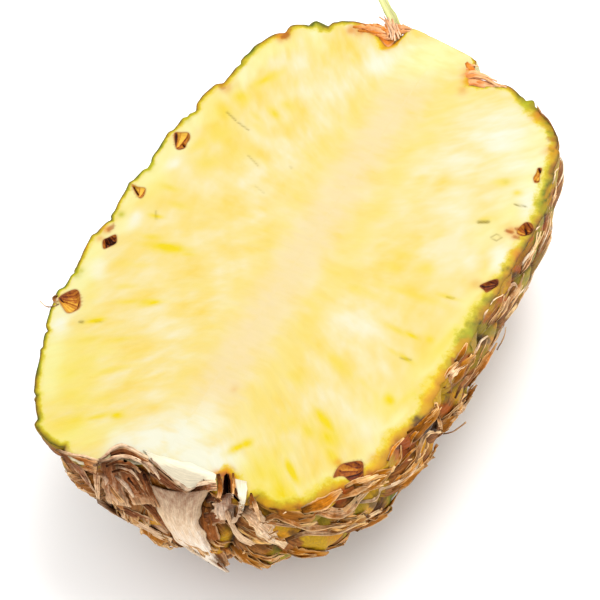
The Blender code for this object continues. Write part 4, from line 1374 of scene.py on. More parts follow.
def paperMaterial(name, cool, warm, edge, edgeStrength, contrast, bleaching):
    # Dried pineapple bract, grown and dried in the sun: thin fibrous leaf paper, from greyish pink
    # to golden brown and bleached toward its tip, with painted shade darkening its base where it meets
    # the rind; its pale edges are partly the paper's own margin and partly painted highlight.
    made, tree, shader = newMaterial(name)
    masks = ("along", "across", "tint", "warmth")
    read = {mask: addNode(tree, "Attribute", {}, {"attribute_name": mask}, output="Fac") for mask in masks}
    grain = addNode(tree, "Attribute", {}, {"attribute_name": "grain"}, output="Vector")
    stretched = addNode(tree, "VectorMath", {0: grain, 1: (1.0, 0.1, 1.0)}, multiply)
    fibre = addNode(
        tree, "TexNoise", {"Vector": stretched, "Scale": 1 / 0.5, "Detail": 3.0, "Roughness": 0.6}
    )  # fibres 0.5 mm apart
    blotch = addNode(
        tree, "TexNoise", {"Vector": grain, "Scale": 1 / 3.0, "Detail": 4.0, "Roughness": 0.65}
    )  # 3 mm blotches
    age = addNode(tree, "Math", {0: blotch, 1: 1.5, 2: read["tint"]}, multiplyAdd)
    age = addNode(tree, "Math", {0: read["along"], 1: bleaching, 2: age}, multiplyAdd)
    age = addNode(tree, "MapRange", {0: age, "From Min": 0.7, "From Max": 2.2})
    tones = [
        addNode(tree, "ValToRGB", {0: age}, stops=((0.0, dark), (1.0, light), (0.5, middle)))
        for dark, middle, light in (cool, warm)
    ]
    tone = addNode(tree, "Mix", {0: read["warmth"], 6: tones[0], 7: tones[1]}, colourMix, output=2)
    # Pale edges and tip: partly the paper's own paler margin and partly painted highlight on the curled edges
    size = addNode(tree, "Math", {0: read["across"]}, {"operation": "ABSOLUTE"})
    size = addNode(tree, "Math", {0: size, 1: read["along"]}, {"operation": "MAXIMUM"})
    toEdge = addNode(tree, "MapRange", {0: size, "From Min": 0.72, "From Max": 1.0, "To Max": edgeStrength})
    tone = addNode(tree, "Mix", {0: toEdge, 6: tone, 7: hexColour(edge)}, colourMix, output=2)
    darkest, lightest = 1.0 - contrast, 1.0 + 0.6 * contrast
    shade = addNode(
        tree, "MapRange", {0: fibre, "From Min": 0.3, "From Max": 0.7, "To Min": darkest, "To Max": lightest}
    )
    # Painted shade: each leaf is darker toward its base, where it meets the rind and the gap below it is in
    # shade
    root = addNode(tree, "MapRange", {0: read["along"], "From Max": 0.3, "To Min": darkest, "To Max": 1.0})
    shade = addNode(tree, "Math", {0: shade, 1: root}, multiply)
    tone = addNode(tree, "VectorMath", {0: tone, "Scale": shade}, {"operation": "SCALE"})
    bump = addNode(tree, "Bump", {"Strength": 0.7, "Distance": 0.2 * mm, "Height": fibre})
    setInputs(tree, shader, {
        "Base Color": tone, "Roughness": 0.75, "IOR": 1.45, "Specular IOR Level": 0.05, "Normal": bump,
    })
    return made


# A dry bract on each eye, torn into shreds

bracts = {
    "seed": 12,
    "highest": 4.0,  # of an eye's middle above the cut face
    "highestLeft": -6.0,
    "lastRight": 5.0,  # toward the crown, the right side has only thin shreds
    "start": -8.2,  # where the blade leaves the rind, from the eye's middle toward the stem
    "lengths": (8.5, 12.5),
    "widths": (0.75, 1.0, 0.95, 0.72, 0.40, 0.08),  # shares of the widest, base to tip
    "widest": 9.2,
    "tipLift": (0.4, 1.5),
    "thickness": 0.25,
}
shreds = {
    "perEye": 14,
    "starts": (-8.5, -1.0),
    "spread": 6.5,
    "lengths": (5.0, 12.0),
    "widths": (0.3, 1.8),
    "splay": 32.0,  # degrees
    "lifts": (0.3, 1.3),
    "offPocket": 10.0,  # from the slit beside the stem
    "thickness": 0.2,
}


def between(limits, share):
    return limits[0] + (limits[1] - limits[0]) * share


def warmthAt(place, draw):
    # Golden at the lower right, and more of a greyish pink at the left and toward the crown
    golden = 0.6 + 0.55 * place[0] / body["halfWidth"] - 0.6 * smoothStep(-35.0, 15.0, place[1])
    return float(np.clip(golden + 0.7 * (draw - 0.5), 0.0, 1.0))


def onPlate(place):
    # Whether the photo shows a bare plate of the rind here
    shares = skinShares(np.array([place]))
    return max(shares[tone][0] for tone in ("goldSkin", "oliveSkin", "darkSkin")) > 0.4


def freedom(centre):
    # How far an eye's bracts stand off. They lie close to the rind toward the crown on the right,
    # at the lower left corner and high on the left side.
    x, y, z = centre
    free = float(1.0 - 0.75 * smoothStep(-30.0, 20.0, y) * smoothStep(20.0, 50.0, x))
    free *= float(1.0 - 0.7 * smoothStep(60.0, 75.0, -y) * smoothStep(0.0, 20.0, -x))
    free *= float(1.0 - 0.85 * smoothStep(-28.0, -18.0, z) * smoothStep(20.0, 30.0, -x))
    return free


def eyeBracts(papers):
    rng = random.Random(bracts["seed"])
    normals = bodyNormals(centres)
    crowns = crownward(normals)
    sides = np.cross(crowns, normals)
    blades, strips = [], []
    for centre, crown, side in zip(centres, crowns, sides):
        draw = [rng.random() for _ in range(6)]
        shredDraws = [[rng.random() for _ in range(8)] for _ in range(shreds["perEye"])]
        if centre[2] > bracts["highest"] or (centre[0] < -30.0 and centre[2] > bracts["highestLeft"]):
            continue
        free = freedom(centre)
        lean = side * (3.0 * (draw[1] - 0.5))
        length = between(bracts["lengths"], draw[0])
        start = centre + crown * bracts["start"]
        spine = (start, start + crown * 0.5 * length + 0.3 * lean, start + crown * length + lean)
        widths = [share * bracts["widest"] * (0.85 + 0.3 * draw[3]) for share in bracts["widths"]]
        bare = centre[0] > 45.0 and centre[1] > bracts["lastRight"]
        if not bare:
            blades.append((spine, widths, {
                "rows": 18, "columns": 11, "cup": 0.5 * free * (draw[4] - 0.3), "wave": 0.3 * free,
                "lifts": (-0.4, 0.3 * free, 0.45 * free, free * between(bracts["tipLift"], draw[2] ** 2)),
                "ragged": 0.45, "tint": 0.1 + 0.5 * draw[4], "warmth": warmthAt(centre, draw[5]),
            }))
        for first, away, size, turn, wide, rise, light, hue in shredDraws:
            angle = math.radians(shreds["splay"] * (2.0 * turn - 1.0))
            ahead = crown * math.cos(angle) + side * math.sin(angle)
            start = centre + crown * between(shreds["starts"], first)
            start = start + side * shreds["spread"] * (2.0 * away - 1.0)
            length = between(shreds["lengths"], size)
            width = between(shreds["widths"], wide ** 1.8)
            bend = side * (2.4 * (hue - 0.5))
            spine = (start, start + ahead * 0.5 * length + bend, start + ahead * length)
            lift = between(shreds["lifts"], rise ** 2)
            toPocket = np.linalg.norm(spine[1] - stemPocket["place"])
            if onPlate(spine[1]) or toPocket < shreds["offPocket"]:
                continue
            strips.append((spine, (0.6 * width, width, 0.8 * width, 0.15 * width), {
                "rows": 11, "columns": 4, "lifts": (0.0, 0.2 + 0.25 * free, 0.2 + lift * free),
                "cup": 0.15 * free, "tilt": 0.6 * free * (light - 0.5), "wave": 0.25 * free, "ragged": 0.5,
                "tint": 0.05 + 0.9 * light + 0.3 * bare, "warmth": warmthAt(centre, hue),
            }))
    store = newStore()
    layStrips(store, blades)
    cutLevel(storePiece("eyeBracts", store, papers["bract"], bracts["thickness"]))
    store = newStore()
    layStrips(store, strips)
    cutLevel(storePiece("bractShreds", store, papers["shred"], shreds["thickness"]))


# Torn strips that show on the right side, at the stem end and by one cut eye: photo pixels along
# each, widths in mm, tint, warmth and how far it stands off the rind in mm
tornStrips = {
    "bigSheet": (
        ((243, 508), (254, 517), (266, 530), (286, 546)), (3, 5, 5.4, 2), 0.85, 0.35, (0.6, 1.8, 1),
    ),
    "bigSheetFold": (
        ((246, 512), (256, 524), (268, 536), (282, 546)), (0.8, 1.2, 0.6), 1, 0.2, (1.2, 2.6, 1.8),
    ),
    "lowEdge": (((267, 546), (284, 551), (307, 550)), (1, 2, 0.6), 0.5, 0.95, (0.6, 1, 0.6)),
    "tanAboveYellow": (
        ((290, 538), (307, 533), (326, 533), (340, 531), (354, 524), (381, 510)), (1.2, 1.8, 1.2), 0.85,
        0.5, (0.8, 1.4, 0.6),
    ),
    "wavyTan": (
        ((265, 519), (279, 516), (298, 523), (315, 527), (338, 524), (356, 522)), (1.6, 2.6, 1), 0.55, 0.55,
        (0.8, 1.2, 0.5),
    ),
    "crossOne": (((262, 523), (273, 518), (286, 512)), (0.9, 0.8, 0.3), 0.9, 0.5, (1.4, 2, 1.2)),
    "crossTwo": (((254, 501), (257, 511), (260, 521)), (1.2, 1.2, 0.4), 0.8, 0.5, (0.8, 1.6, 1.2)),
    "crossThree": (((260, 521), (277, 524), (296, 527)), (0.8, 1, 0.4), 0.6, 0.4, (1.2, 1.4, 0.8)),
    "pinkUpper": (
        ((298, 518), (319, 510), (334, 514), (349, 510), (359, 499), (376, 481)), (2, 3.4, 2.2, 0.8), 0.7,
        0.5, (0.6, 1.4, 0.5),
    ),
    "redSheet": (((302, 511), (323, 503), (342, 490)), (2, 4, 1), 0.3, 1, (0.3, 0.8, 0.3)),
    "ivoryRight": (
        ((356, 502), (374, 500), (381, 489), (396, 483), (415, 468)), (0.8, 1.2, 0.9, 0.4), 1, 0.3,
        (0.6, 1.2, 0.6),
    ),
    "ivoryEdge": (
        ((386, 489), (403, 479), (416, 467), (420, 453)), (0.5, 1.3, 0.4), 1, 0.25, (0.4, 1, 0.4),
    ),
    "brownCurl": (((364, 515), (375, 518), (382, 508)), (1, 1.4, 0.4), 0.1, 0.8, (0.6, 1.4, 1.6)),
    "thinIvory": (
        ((471, 360), (477, 349), (481, 341), (488, 336)), (0.4, 0.9, 0.3), 1, 0.25, (0.6, 1.2, 0.4),
    ),
    "tanFibre": (
        ((449, 393), (449, 379), (457, 369), (467, 363)), (1.4, 2.6, 1), 0.8, 0.5, (0.3, 0.8, 0.4),
    ),
    "greyFibre": (
        ((455, 398), (461, 386), (470, 375), (480, 358)), (0.8, 1.6, 0.6), 0.35, 0.3, (0.3, 0.6, 0.3),
    ),
    "greyLong": (
        ((468, 386), (478, 372), (488, 358), (497, 343)), (1, 1.8, 0.5), 0.35, 0.75, (0.2, 0.3, 0.1),
    ),
    "rightHair": (((497, 350), (504, 337), (506, 327)), (0.25, 0.3, 0.12), 0.7, 0.3, (0.6, 1.2, 0.8)),
    "brownTip": (((464, 404), (470, 394), (477, 385)), (0.6, 1.6, 0.3), 0.15, 0.85, (0.6, 1.6, 2.2)),
    "brownTipEdge": (((465, 398), (470, 389), (475, 383)), (0.3, 0.7, 0.2), 1, 0.25, (0.8, 1.6, 2)),
    "tanCurl": (
        ((453, 414), (461, 412), (466, 404), (472, 396)), (0.8, 1.2, 0.3), 0.85, 0.45, (0.6, 1.4, 0.8),
    ),
    "stripLow": (
        ((415, 463), (419, 450), (424, 437), (431, 432), (441, 432)), (1, 1.6, 0.8), 0.8, 0.6,
        (0.6, 1, 0.6),
    ),
    "darkTip": (((436, 427), (443, 430), (449, 429)), (1.4, 1.8, 0.3), 0, 0.7, (0.5, 1.2, 1)),
    "tanShort": (((438, 417), (440, 424), (442, 433)), (1, 1.2, 0.6), 0.7, 0.6, (0.4, 0.9, 0.8)),
    "lowHair": (
        ((443, 434), (452, 432), (460, 427), (466, 422)), (0.25, 0.3, 0.4), 0.2, 0.4, (0.8, 1.5, 1.5),
    ),
    "greyLoop": (
        ((503, 298), (509, 289), (514, 284), (517, 290), (514, 298)), (0.5, 1, 0.4), 0.75, 0.3,
        (0.4, 0.9, 0.5),
    ),
    "upperSheet": (
        ((505, 305), (510, 297), (516, 289), (523, 273)), (1.6, 2.6, 1), 0.65, 0.6, (0.1, 0.3, 0.1),
    ),
    "upperGrey": (((520, 274), (528, 262), (537, 243)), (0.6, 1.4, 0.6), 0.5, 0.3, (0.2, 0.4, 0.2)),
    "upperTan": (
        ((537, 250), (543, 237), (547, 222), (549, 207)), (0.6, 1.2, 0.4), 0.6, 0.4, (0.1, 0.4, 0.2),
    ),
    "middleSheet": (((495, 322), (504, 308), (510, 297)), (0.8, 2, 0.5), 0.7, 0.55, (0.2, 0.5, 0.2)),
    "redFibreOne": (((388, 461), (394, 448), (404, 438)), (0.6, 1, 0.3), 0.45, 1, (0.4, 1.2, 0.8)),
    "redFibreTwo": (((392, 470), (400, 458), (401, 445)), (0.8, 1, 0.3), 0.6, 0.9, (0.6, 1.4, 0.8)),
    "redFibreThree": (((398, 466), (408, 455), (418, 446)), (0.6, 0.9, 0.3), 0.35, 1, (0.4, 1.2, 0.8)),
    "redFibreFour": (((384, 474), (396, 464), (412, 459)), (0.8, 1, 0.3), 0.7, 0.8, (0.5, 1.2, 0.6)),
    "redFibreFive": (((408, 449), (412, 437), (421, 428)), (0.6, 1.4, 0.5), 0.3, 1, (0.3, 0.8, 0.4)),
    "pinkMiddle": (
        ((345, 487), (354, 482), (366, 479), (378, 474)), (0.6, 1.8, 0.8), 0.75, 0.8, (0.3, 0.9, 0.4),
    ),
    "pinkLower": (
        ((333, 499), (349, 493), (364, 486), (374, 480)), (1.2, 2.6, 1), 0.6, 0.65, (0.2, 0.8, 0.4),
    ),
    "orangeSheet": (((444, 388), (449, 372), (458, 362)), (0.8, 1.8, 0.6), 0.5, 1, (0.1, 0.5, 0.2)),
    "redPatch": (((456, 362), (463, 352), (467, 343)), (1.2, 1.8, 0.5), 0.15, 1, (0.1, 0.4, 0.2)),
    "knob": (
        ((61, 299), (57, 297), (54, 298), (54.5, 301), (57, 303)), (0.8, 1.2, 0.9, 0.4), 0, 0.5, (0, 0.4),
    ),
    "knobInside": (((61, 300), (58, 299), (57, 301)), (0.6, 0.9, 0.4), 0.8, 0.3, (0.3, 0.6)),
    "curlyHair": (
        ((59, 304), (55, 306), (49, 307), (44, 305), (40, 301)), (0.3, 0.3, 0.15), 0.5, 0.2, (0, 0.3),
    ),
}


def placeStrips(rind, papers):
    store = newStore()
    for pixels, widths, tint, warmth, lifts in tornStrips.values():
        addRibbon(store, rind, pixels, widths, {
            "rows": 8 * len(pixels), "columns": 7, "tint": tint, "warmth": warmth, "lifts": lifts,
            "cup": 0.12 * max(widths), "wave": 0.12, "ragged": 0.35, "crumple": 0.22,
        })
    storePiece("tornBracts", store, papers["shred"], shreds["thickness"])


# Torn leaves round the stem, as lines of photo pixels from base to tip with their lifts in mm

stemFlapEdges = (
    (
        ((148, 484), (156, 502), (162, 517), (172, 534), (184, 546), (200, 557), (227, 572)),
        (0.8, 1.5, 3, 4, 5),
    ),
    (
        ((167, 490), (173, 507), (178, 524), (187, 540), (197, 550), (209, 560), (227, 572)),
        (2, 3.8, 5, 5.5, 5.5),
    ),
    (
        ((188, 492), (187, 508), (189, 524), (196, 538), (204, 548), (213, 558), (228, 572)),
        (2.2, 4.2, 5, 5.5, 5.5),
    ),
    (
        ((208, 490), (203, 504), (199, 520), (204, 533), (209, 546), (217, 558), (229, 572)),
        (1.2, 2, 3, 4, 5),
    ),
)
# The white root of the stem hangs a little over the edge of the cut
stemRootEdges = (
    (((143, 450), (158, 456), (174, 460), (190, 464), (206, 470), (216, 474)), (0.25, 0.25)),
    (((146, 453), (161, 461), (176, 467), (191, 472), (205, 475), (216, 477)), (0.6, 0.9, 0.6)),
    (((148, 457), (161, 466), (174, 474), (188, 481), (203, 480), (215, 480)), (1.2, 3, 1.6)),
    (((150, 460), (162, 469), (173, 478), (187, 488), (201, 484), (215, 483)), (1.6, 3.4, 1.6)),
)
# A tooth of flesh beside the slit
stemToothEdges = (
    (((235, 479), (237, 490), (239, 501), (241, 513)), (0.15, 0.9)),
    (((247, 482), (247, 491), (245, 502), (242, 513)), (0.15, 0.9)),
)
# Each sheet: its tint, warmth and lines
stemSheets = {
    "greyFoldBelowRoot": (
        0.35, 0.1,
        (((149, 462), (160, 471), (171, 480), (181, 488), (191, 491)), (0.8, 2)),
        (((150, 474), (160, 482), (169, 488), (178, 492), (189, 494)), (1, 2.2)),
    ),
    "greyFoldRight": (
        0.35, 0.15,
        (((187, 488), (198, 485), (208, 483), (217, 485)), (2, 1.2)),
        (((190, 494), (200, 493), (209, 491), (217, 490)), (2, 1.2)),
    ),
    "darkWedge": (
        0.12, 0.5,
        (((110, 452), (121, 448), (130, 450), (140, 456), (150, 462), (158, 469)), (0.5, 0.9, 0.7)),
        (((111, 459), (121, 457), (130, 458), (139, 462), (147, 468), (152, 476)), (0.8, 1.2, 0.9)),
    ),
    "redAtLeft": (
        0.35, 0.85,
        (((59, 451), (70, 455), (84, 458), (98, 462)), (0.8, 1)),
        (((67, 463), (77, 467), (87, 470), (96, 473)), (1.4, 2)),
    ),
    "pinkAtLeft": (
        0.6, 0.15,
        (((68, 459), (77, 471), (87, 483), (97, 494)), (0.3, 1)),
        (((80, 465), (86, 474), (91, 484), (97, 494)), (0.8, 1.8)),
    ),
    "tanRidge": (
        0.85, 0.4,
        (((93, 465), (94, 478), (95, 490), (97, 498)), (1.2, 2.4)),
        (((99, 463), (100, 478), (100, 490), (100, 499)), (1.2, 2.2)),
    ),
    "foldedBractLeft": (
        0.55, 0.3,
        (((99, 464), (101, 478), (104, 491), (108, 503)), (0.6, 2.2)),
        (((109, 462), (111, 476), (115, 491), (119, 505)), (1.6, 2.6)),
        (((118, 463), (121, 478), (125, 492), (130, 507)), (0.8, 1.6)),
    ),
    "foldedBractMiddle": (
        0.35, 0.35,
        (((116, 466), (121, 479), (127, 492), (134, 505)), (1.6, 2.6)),
        (((127, 464), (131, 477), (138, 491), (146, 504)), (2.4, 3)),
        (((136, 467), (140, 480), (147, 493), (154, 504)), (0.8, 1.4)),
    ),
    "foldedBractRight": (
        0.2, 0.35,
        (((133, 466), (138, 480), (145, 493), (153, 506)), (1.6, 2.6)),
        (((141, 469), (146, 482), (152, 495), (158, 507)), (2, 2.4)),
        (((148, 474), (152, 486), (157, 498), (162, 508)), (0.6, 1)),
    ),
    "orangeStreak": (
        0.75, 0.8,
        (((107, 485), (113, 494), (121, 503)), (3, 3.4)),
        (((110, 484), (117, 493), (125, 502)), (3, 3.4)),
    ),
    "lowerEdge": (
        0.9, 0.35,
        (((96, 497), (116, 510), (136, 520), (156, 530), (173, 538)), (1.6, 1)),
        (((98, 503), (117, 516), (137, 526), (157, 537), (171, 543)), (1.4, 0.8)),
    ),
    "lowerGrey": (
        0.45, 0.15,
        (((120, 504), (136, 512), (150, 518), (166, 528)), (1.2, 0.8)),
        (((118, 510), (134, 518), (150, 525), (168, 534)), (1.4, 1)),
    ),
    "lowerInner": (
        0.3, 0.3,
        (((140, 503), (149, 512), (158, 521), (168, 532)), (0.8, 0.8)),
        (((150, 500), (158, 510), (165, 520), (172, 532)), (0.6, 0.6)),
    ),
    "behindFlap": (
        0.4, 0.6,
        (((198, 505), (199, 522), (207, 540), (217, 556), (225, 567)), (0.4, 1, 2, 3)),
        (((212, 508), (216, 522), (219, 536), (224, 552), (230, 564)), (0.4, 0.8, 1.4, 2.4)),
    ),
    "belowNub": (
        0.3, 0.1,
        (((204, 512), (214, 511), (225, 512)), (0.8, 1.2)),
        (((204, 525), (214, 524), (226, 522)), (0.8, 1.2)),
    ),
    "crossingStrip": (
        1, 0.35,
        (((217, 507), (224, 512), (229, 524), (237, 538), (250, 546)), (3.4, 2.8, 1.4)),
        (((221, 504), (229, 511), (234, 523), (242, 535), (257, 543)), (3.4, 2.8, 1.4)),
    ),
    "nub": (
        0.8, 0,
        (((216, 499), (213, 508), (217, 518)), (3.2, 3.6, 3.2)),
        (((224, 495), (223, 507), (225, 522)), (4, 5.6, 4.2)),
        (((233, 494), (235, 507), (234, 523)), (4, 5.4, 4.2)),
        (((239, 499), (241, 509), (238, 519)), (3.2, 3.6, 3.2)),
    ),
}
# Narrower pieces there: photo pixels along each, widths in mm, tint, warmth and lifts in mm
stemStrips = {
    "ivoryEdgeLeft": (
        ((56, 449), (66, 453), (76, 455), (86, 457), (99, 461)), (0.4, 0.8, 0.6), 1, 0.4, (0.5, 0.8),
    ),
    "ivoryEdgeUpper": (
        ((97, 461), (105, 456), (113, 449), (121, 446), (130, 448), (141, 454), (152, 460)),
        (0.5, 1.2, 1, 0.8), 1, 0.25, (0.9, 1.1, 1),
    ),
    "ivoryEdgeRight": (
        ((150, 459), (161, 467), (172, 476), (180, 483), (188, 489), (196, 485), (205, 483), (216, 482)),
        (0.8, 1.5, 1.3, 0.9), 1, 0.15, (1.8, 3.8, 2),
    ),
    "ivoryEdgeLower": (
        ((98, 462), (108, 460), (118, 457), (128, 457), (138, 460), (146, 466), (151, 473)),
        (0.6, 1.3, 1, 0.6), 0.95, 0.3, (1.2, 1.6, 1.2),
    ),
    "ivoryCurl": (
        ((142, 462), (150, 465), (156, 472), (160, 479)), (0.6, 1.2, 0.5), 0.9, 0.2, (1.6, 2.4, 2),
    ),
    "darkFoldOne": (((106, 466), (118, 462), (130, 464), (141, 472)), (0.8, 1.2, 0.6), 0, 0.5, (3.2, 3)),
    "darkFoldTwo": (((112, 472), (124, 470), (134, 475), (142, 486)), (0.6, 1.2, 0.5), 0.05, 0.6, (3.4, 3)),
    "darkFoldThree": (((128, 478), (137, 488), (143, 500)), (0.8, 1.2, 0.5), 0, 0.5, (3.4, 3)),
    "darkFoldFour": (((144, 474), (149, 488), (155, 502)), (1, 1.6, 0.6), 0, 0.4, (2.8, 2.8)),
    "pinkFoldOne": (((103, 474), (108, 484), (110, 497)), (0.8, 1.6, 0.6), 0.9, 0.15, (3, 3.2)),
    "pinkFoldTwo": (((115, 476), (125, 484), (134, 497)), (0.6, 1.4, 0.5), 0.95, 0.1, (3.4, 3.6)),
    "pinkFoldThree": (((118, 467), (130, 470), (139, 480)), (0.5, 0.9, 0.4), 0.85, 0.2, (3.6, 3.2)),
    "slitBrownLeft": (
        ((218, 474), (220, 482), (220, 490), (219, 498)), (0.8, 1.6, 1.2), 0.15, 1, (0.5, 0.9),
    ),
    "slitRidgeMiddle": (
        ((228, 474), (229, 482), (229, 490), (229, 498)), (0.3, 0.5, 0.4), 0.2, 0.9, (0.8, 1),
    ),
    "slitRidgeRight": (
        ((233, 473), (234, 482), (234, 490), (233, 498)), (0.4, 0.9, 0.7), 0.75, 1, (0.6, 1),
    ),
    "slitDarkRight": (((235, 488), (237, 497), (238, 506)), (0.4, 1, 0.6), 0, 0.8, (0.6, 0.8)),
    "wedgeRight": (((251, 493), (252, 500), (253, 508)), (0.3, 1.6, 2), 0.15, 1, (0.5, 0.9)),
    "darkByNub": (((206, 500), (213, 498), (219, 499), (225, 503)), (1.6, 2.6, 1.6), 0, 0.3, (1.2, 1.4)),
    "nubEdge": (((226, 494), (234, 495), (239, 501)), (0.4, 0.6, 0.4), 0.95, 0.1, (5.2, 4.4)),
    "darkBelowNub": (((226, 520), (232, 524), (236, 531)), (1.2, 1.6, 0.8), 0, 0.6, (1, 1)),
    "goldPlateLow": (((221, 546), (231, 549), (245, 551)), (2, 3.6, 2), 0.6, 1, (0.5, 0.7)),
    "stainedTip": (
        ((203, 545), (211, 556), (219, 565), (226, 571)), (0.5, 0.9, 0.4), 0.15, 0.4, (5.3, 5.8),
    ),
}
stemThickness = {"flap": 0.4, "root": 0.5, "sheets": 0.3, "strips": 0.25}  # mm


def stemLeaves(rind, papers):
    flap = newStore()
    addSheet(flap, rind, stemFlapEdges, {
        "rows": 60, "columns": 31, "cup": 0.8, "wave": 0.45, "crumple": 0.45, "crumpleSize": 5.0,
        "ragged": 0.35, "tint": 0.25,
    })
    storePiece("stemFlap", flap, papers["flap"], stemThickness["flap"])
    root = newStore()
    addSheet(root, rind, stemRootEdges, {
        "rows": 44, "columns": 14, "cup": 0.0, "wave": 0.1, "crumple": 0.3, "crumpleSize": 3.0,
        "ragged": 0.3, "tint": 0.8,
    })
    addSheet(root, rind, stemToothEdges, {
        "rows": 20, "columns": 8, "cup": 0.2, "wave": 0.1, "crumple": 0.2, "ragged": 0.3, "tint": 0.8,
    })
    storePiece("stemRoot", root, papers["root"], stemThickness["root"])
    sheets = newStore()
    for tint, warmth, *edges in stemSheets.values():
        addSheet(sheets, rind, edges, {
            "rows": 9 * len(edges[0][0]), "columns": 6 * len(edges), "tint": tint, "warmth": warmth,
            "cup": 0.3, "wave": 0.3, "crumple": 0.5, "crumpleSize": 2.4, "ragged": 0.6,
        })
    storePiece("stemSheets", sheets, papers["stem"], stemThickness["sheets"])
    strips = newStore()
    for pixels, widths, tint, warmth, lifts in stemStrips.values():
        addRibbon(strips, rind, pixels, widths, {
            "rows": 9 * len(pixels), "columns": 7, "tint": tint, "warmth": warmth, "lifts": lifts,
            "cup": -0.22 * max(widths), "wave": 0.1, "ragged": 0.6, "crumple": 0.3, "crumpleSize": 2.0,
        })
    storePiece("stemStrips", strips, papers["stem"], stemThickness["strips"])


# Leaf bases at the crown, as photo pixels with lifts in mm

# What fills the notch of the rim behind the fibres
crownNotchEdges = (
    (((377, 30), (388, 30), (400, 31)), (0, 0)), (((378, 35), (388, 38), (399, 35)), (0, 0)),
    (((380, 39), (388, 47), (397, 39)), (0, 0)),
)
# Photo pixels along each, widths in mm, tint, warmth and lifts in mm
crownStrips = {
    "longOne": (((353, 27), (363, 28), (374, 30), (386, 33)), (0.5, 2, 2.2, 1), 0.75, 1, (0.2, 0.5)),
    "longTwo": (((358, 31), (368, 32), (378, 35), (389, 37)), (0.4, 1.8, 2, 0.8), 0.5, 1, (0.2, 0.4)),
    "longThree": (((364, 25), (374, 26), (385, 28)), (0.4, 1.6, 1), 0.65, 1, (0.3, 0.6)),
    "longFour": (((362, 29), (373, 32), (386, 35)), (0.3, 0.6, 0.3), 0.15, 1, (0.6, 0.9)),
    "fibreOne": (((379, 17), (386, 22), (390, 30), (391, 38)), (0.3, 0.8, 0.8, 0.4), 0.9, 0.3, (0.9, 0.9)),
    "fibreTwo": (((384, 16), (389, 24), (393, 32), (392, 40)), (0.3, 0.8, 0.8, 0.4), 0.7, 0.4, (1.1, 0.9)),
    "fibreThree": (
        ((388, 17), (391, 25), (394, 33), (395, 41)), (0.3, 0.7, 0.7, 0.3), 1.1, 0.3, (1.2, 0.9),
    ),
    "fibreFour": (((392, 19), (394, 26), (397, 33), (399, 39)), (0.3, 0.8, 0.7, 0.3), 0.8, 0.4, (1.1, 0.9)),
    "fibreFive": (((396, 23), (398, 30), (401, 36)), (0.3, 0.7, 0.3), 1, 0.4, (1, 0.8)),
    "fibreSix": (((385, 24), (388, 31), (388, 38)), (0.4, 0.8, 0.4), 0.45, 0.8, (0.8, 0.8)),
    "fibreSeven": (((377, 24), (384, 29), (389, 35)), (0.4, 1, 0.5), 0.5, 1, (0.7, 0.7)),
    "rootCross": (((376, 35), (384, 38), (391, 39)), (0.4, 1, 0.5), 0.6, 0.8, (0.4, 0.5)),
    "endOne": (((395, 27), (403, 28), (412, 29)), (1.6, 2.2, 0.4), 0.6, 0.6, (0.3, 0.4)),
    "endTwo": (((396, 31), (403, 32), (410, 31)), (1.2, 1.5, 0.4), 0.5, 0.7, (0.2, 0.3)),
    "rightRoot": (((466, 63), (470, 68), (475, 74)), (1, 2.2, 1.6), 0.35, 1, (0.3, 0.6)),
}
# Leaves that leave the fruit there: points in mm, widths, tint
crownTips = (
    (
        ((9, 79, -2.6), (12.6, 85, -0.4), (17.6, 86.6, 0.5), (22.6, 86, 0.4), (27.4, 85.9, 0.2)),
        (2.4, 2.6, 1.4, 0.2), 0.5,
    ),
    (((10, 80, -2.8), (13.4, 83.2, -0.8), (18, 84.4, 0.1), (23.4, 84.4, 0)), (2, 2.2, 1.2, 0.2), 0.25),
    (((10, 81.6, -2), (13.4, 86.8, 0.2), (18.4, 87.2, 0.7), (23.4, 86.8, 0.5)), (1.6, 1.8, 1.2, 0.2), 0.85),
    (((12, 80, -2.4), (16, 82.6, -0.2), (21, 83.2, 0.2)), (1.4, 1.2, 0.2), 0.1),
    (((11, 83, -1.6), (12.6, 89, 0.4), (15.2, 89.6, 0.8)), (1.2, 1, 0.2), 0.6),
    (((12, 84, -1), (18, 86, 0.9), (25, 84.8, 0.8)), (0.8, 1, 0.2), 0.75),
    (((10, 82, -1.8), (15.6, 84.4, -0.2), (21, 85, 0.2), (26.6, 86, 0.2)), (3.6, 3.8, 2.4, 0.3), 0.65),
)
crownThickness = 0.3  # mm
crownSliver = {
    "spine": ((-13, 86, -4), (-18, 94.5, -1.6), (-23.8, 99.4, 0), (-29, 103.5, 0.8), (-32, 106, 1)),
    "widths": (4.0, 3.2, 2.6, 2.2, 0.5),
    "facing": (-0.3, 0.0, 1.0),
    "thickness": 0.5,
}


def addSpine(store, spine, widths, facing, look):
    # A strip through points in mm whose flat side faces one way
    use = {**bladeLook, **look}
    path = smoothPath(spine, use["rows"])
    outward = unit(np.tile(facing, (use["rows"], 1)))
    addStrip(store, path, widths, outward, use, 0.13 * len(store["vertices"]) + 2.0)


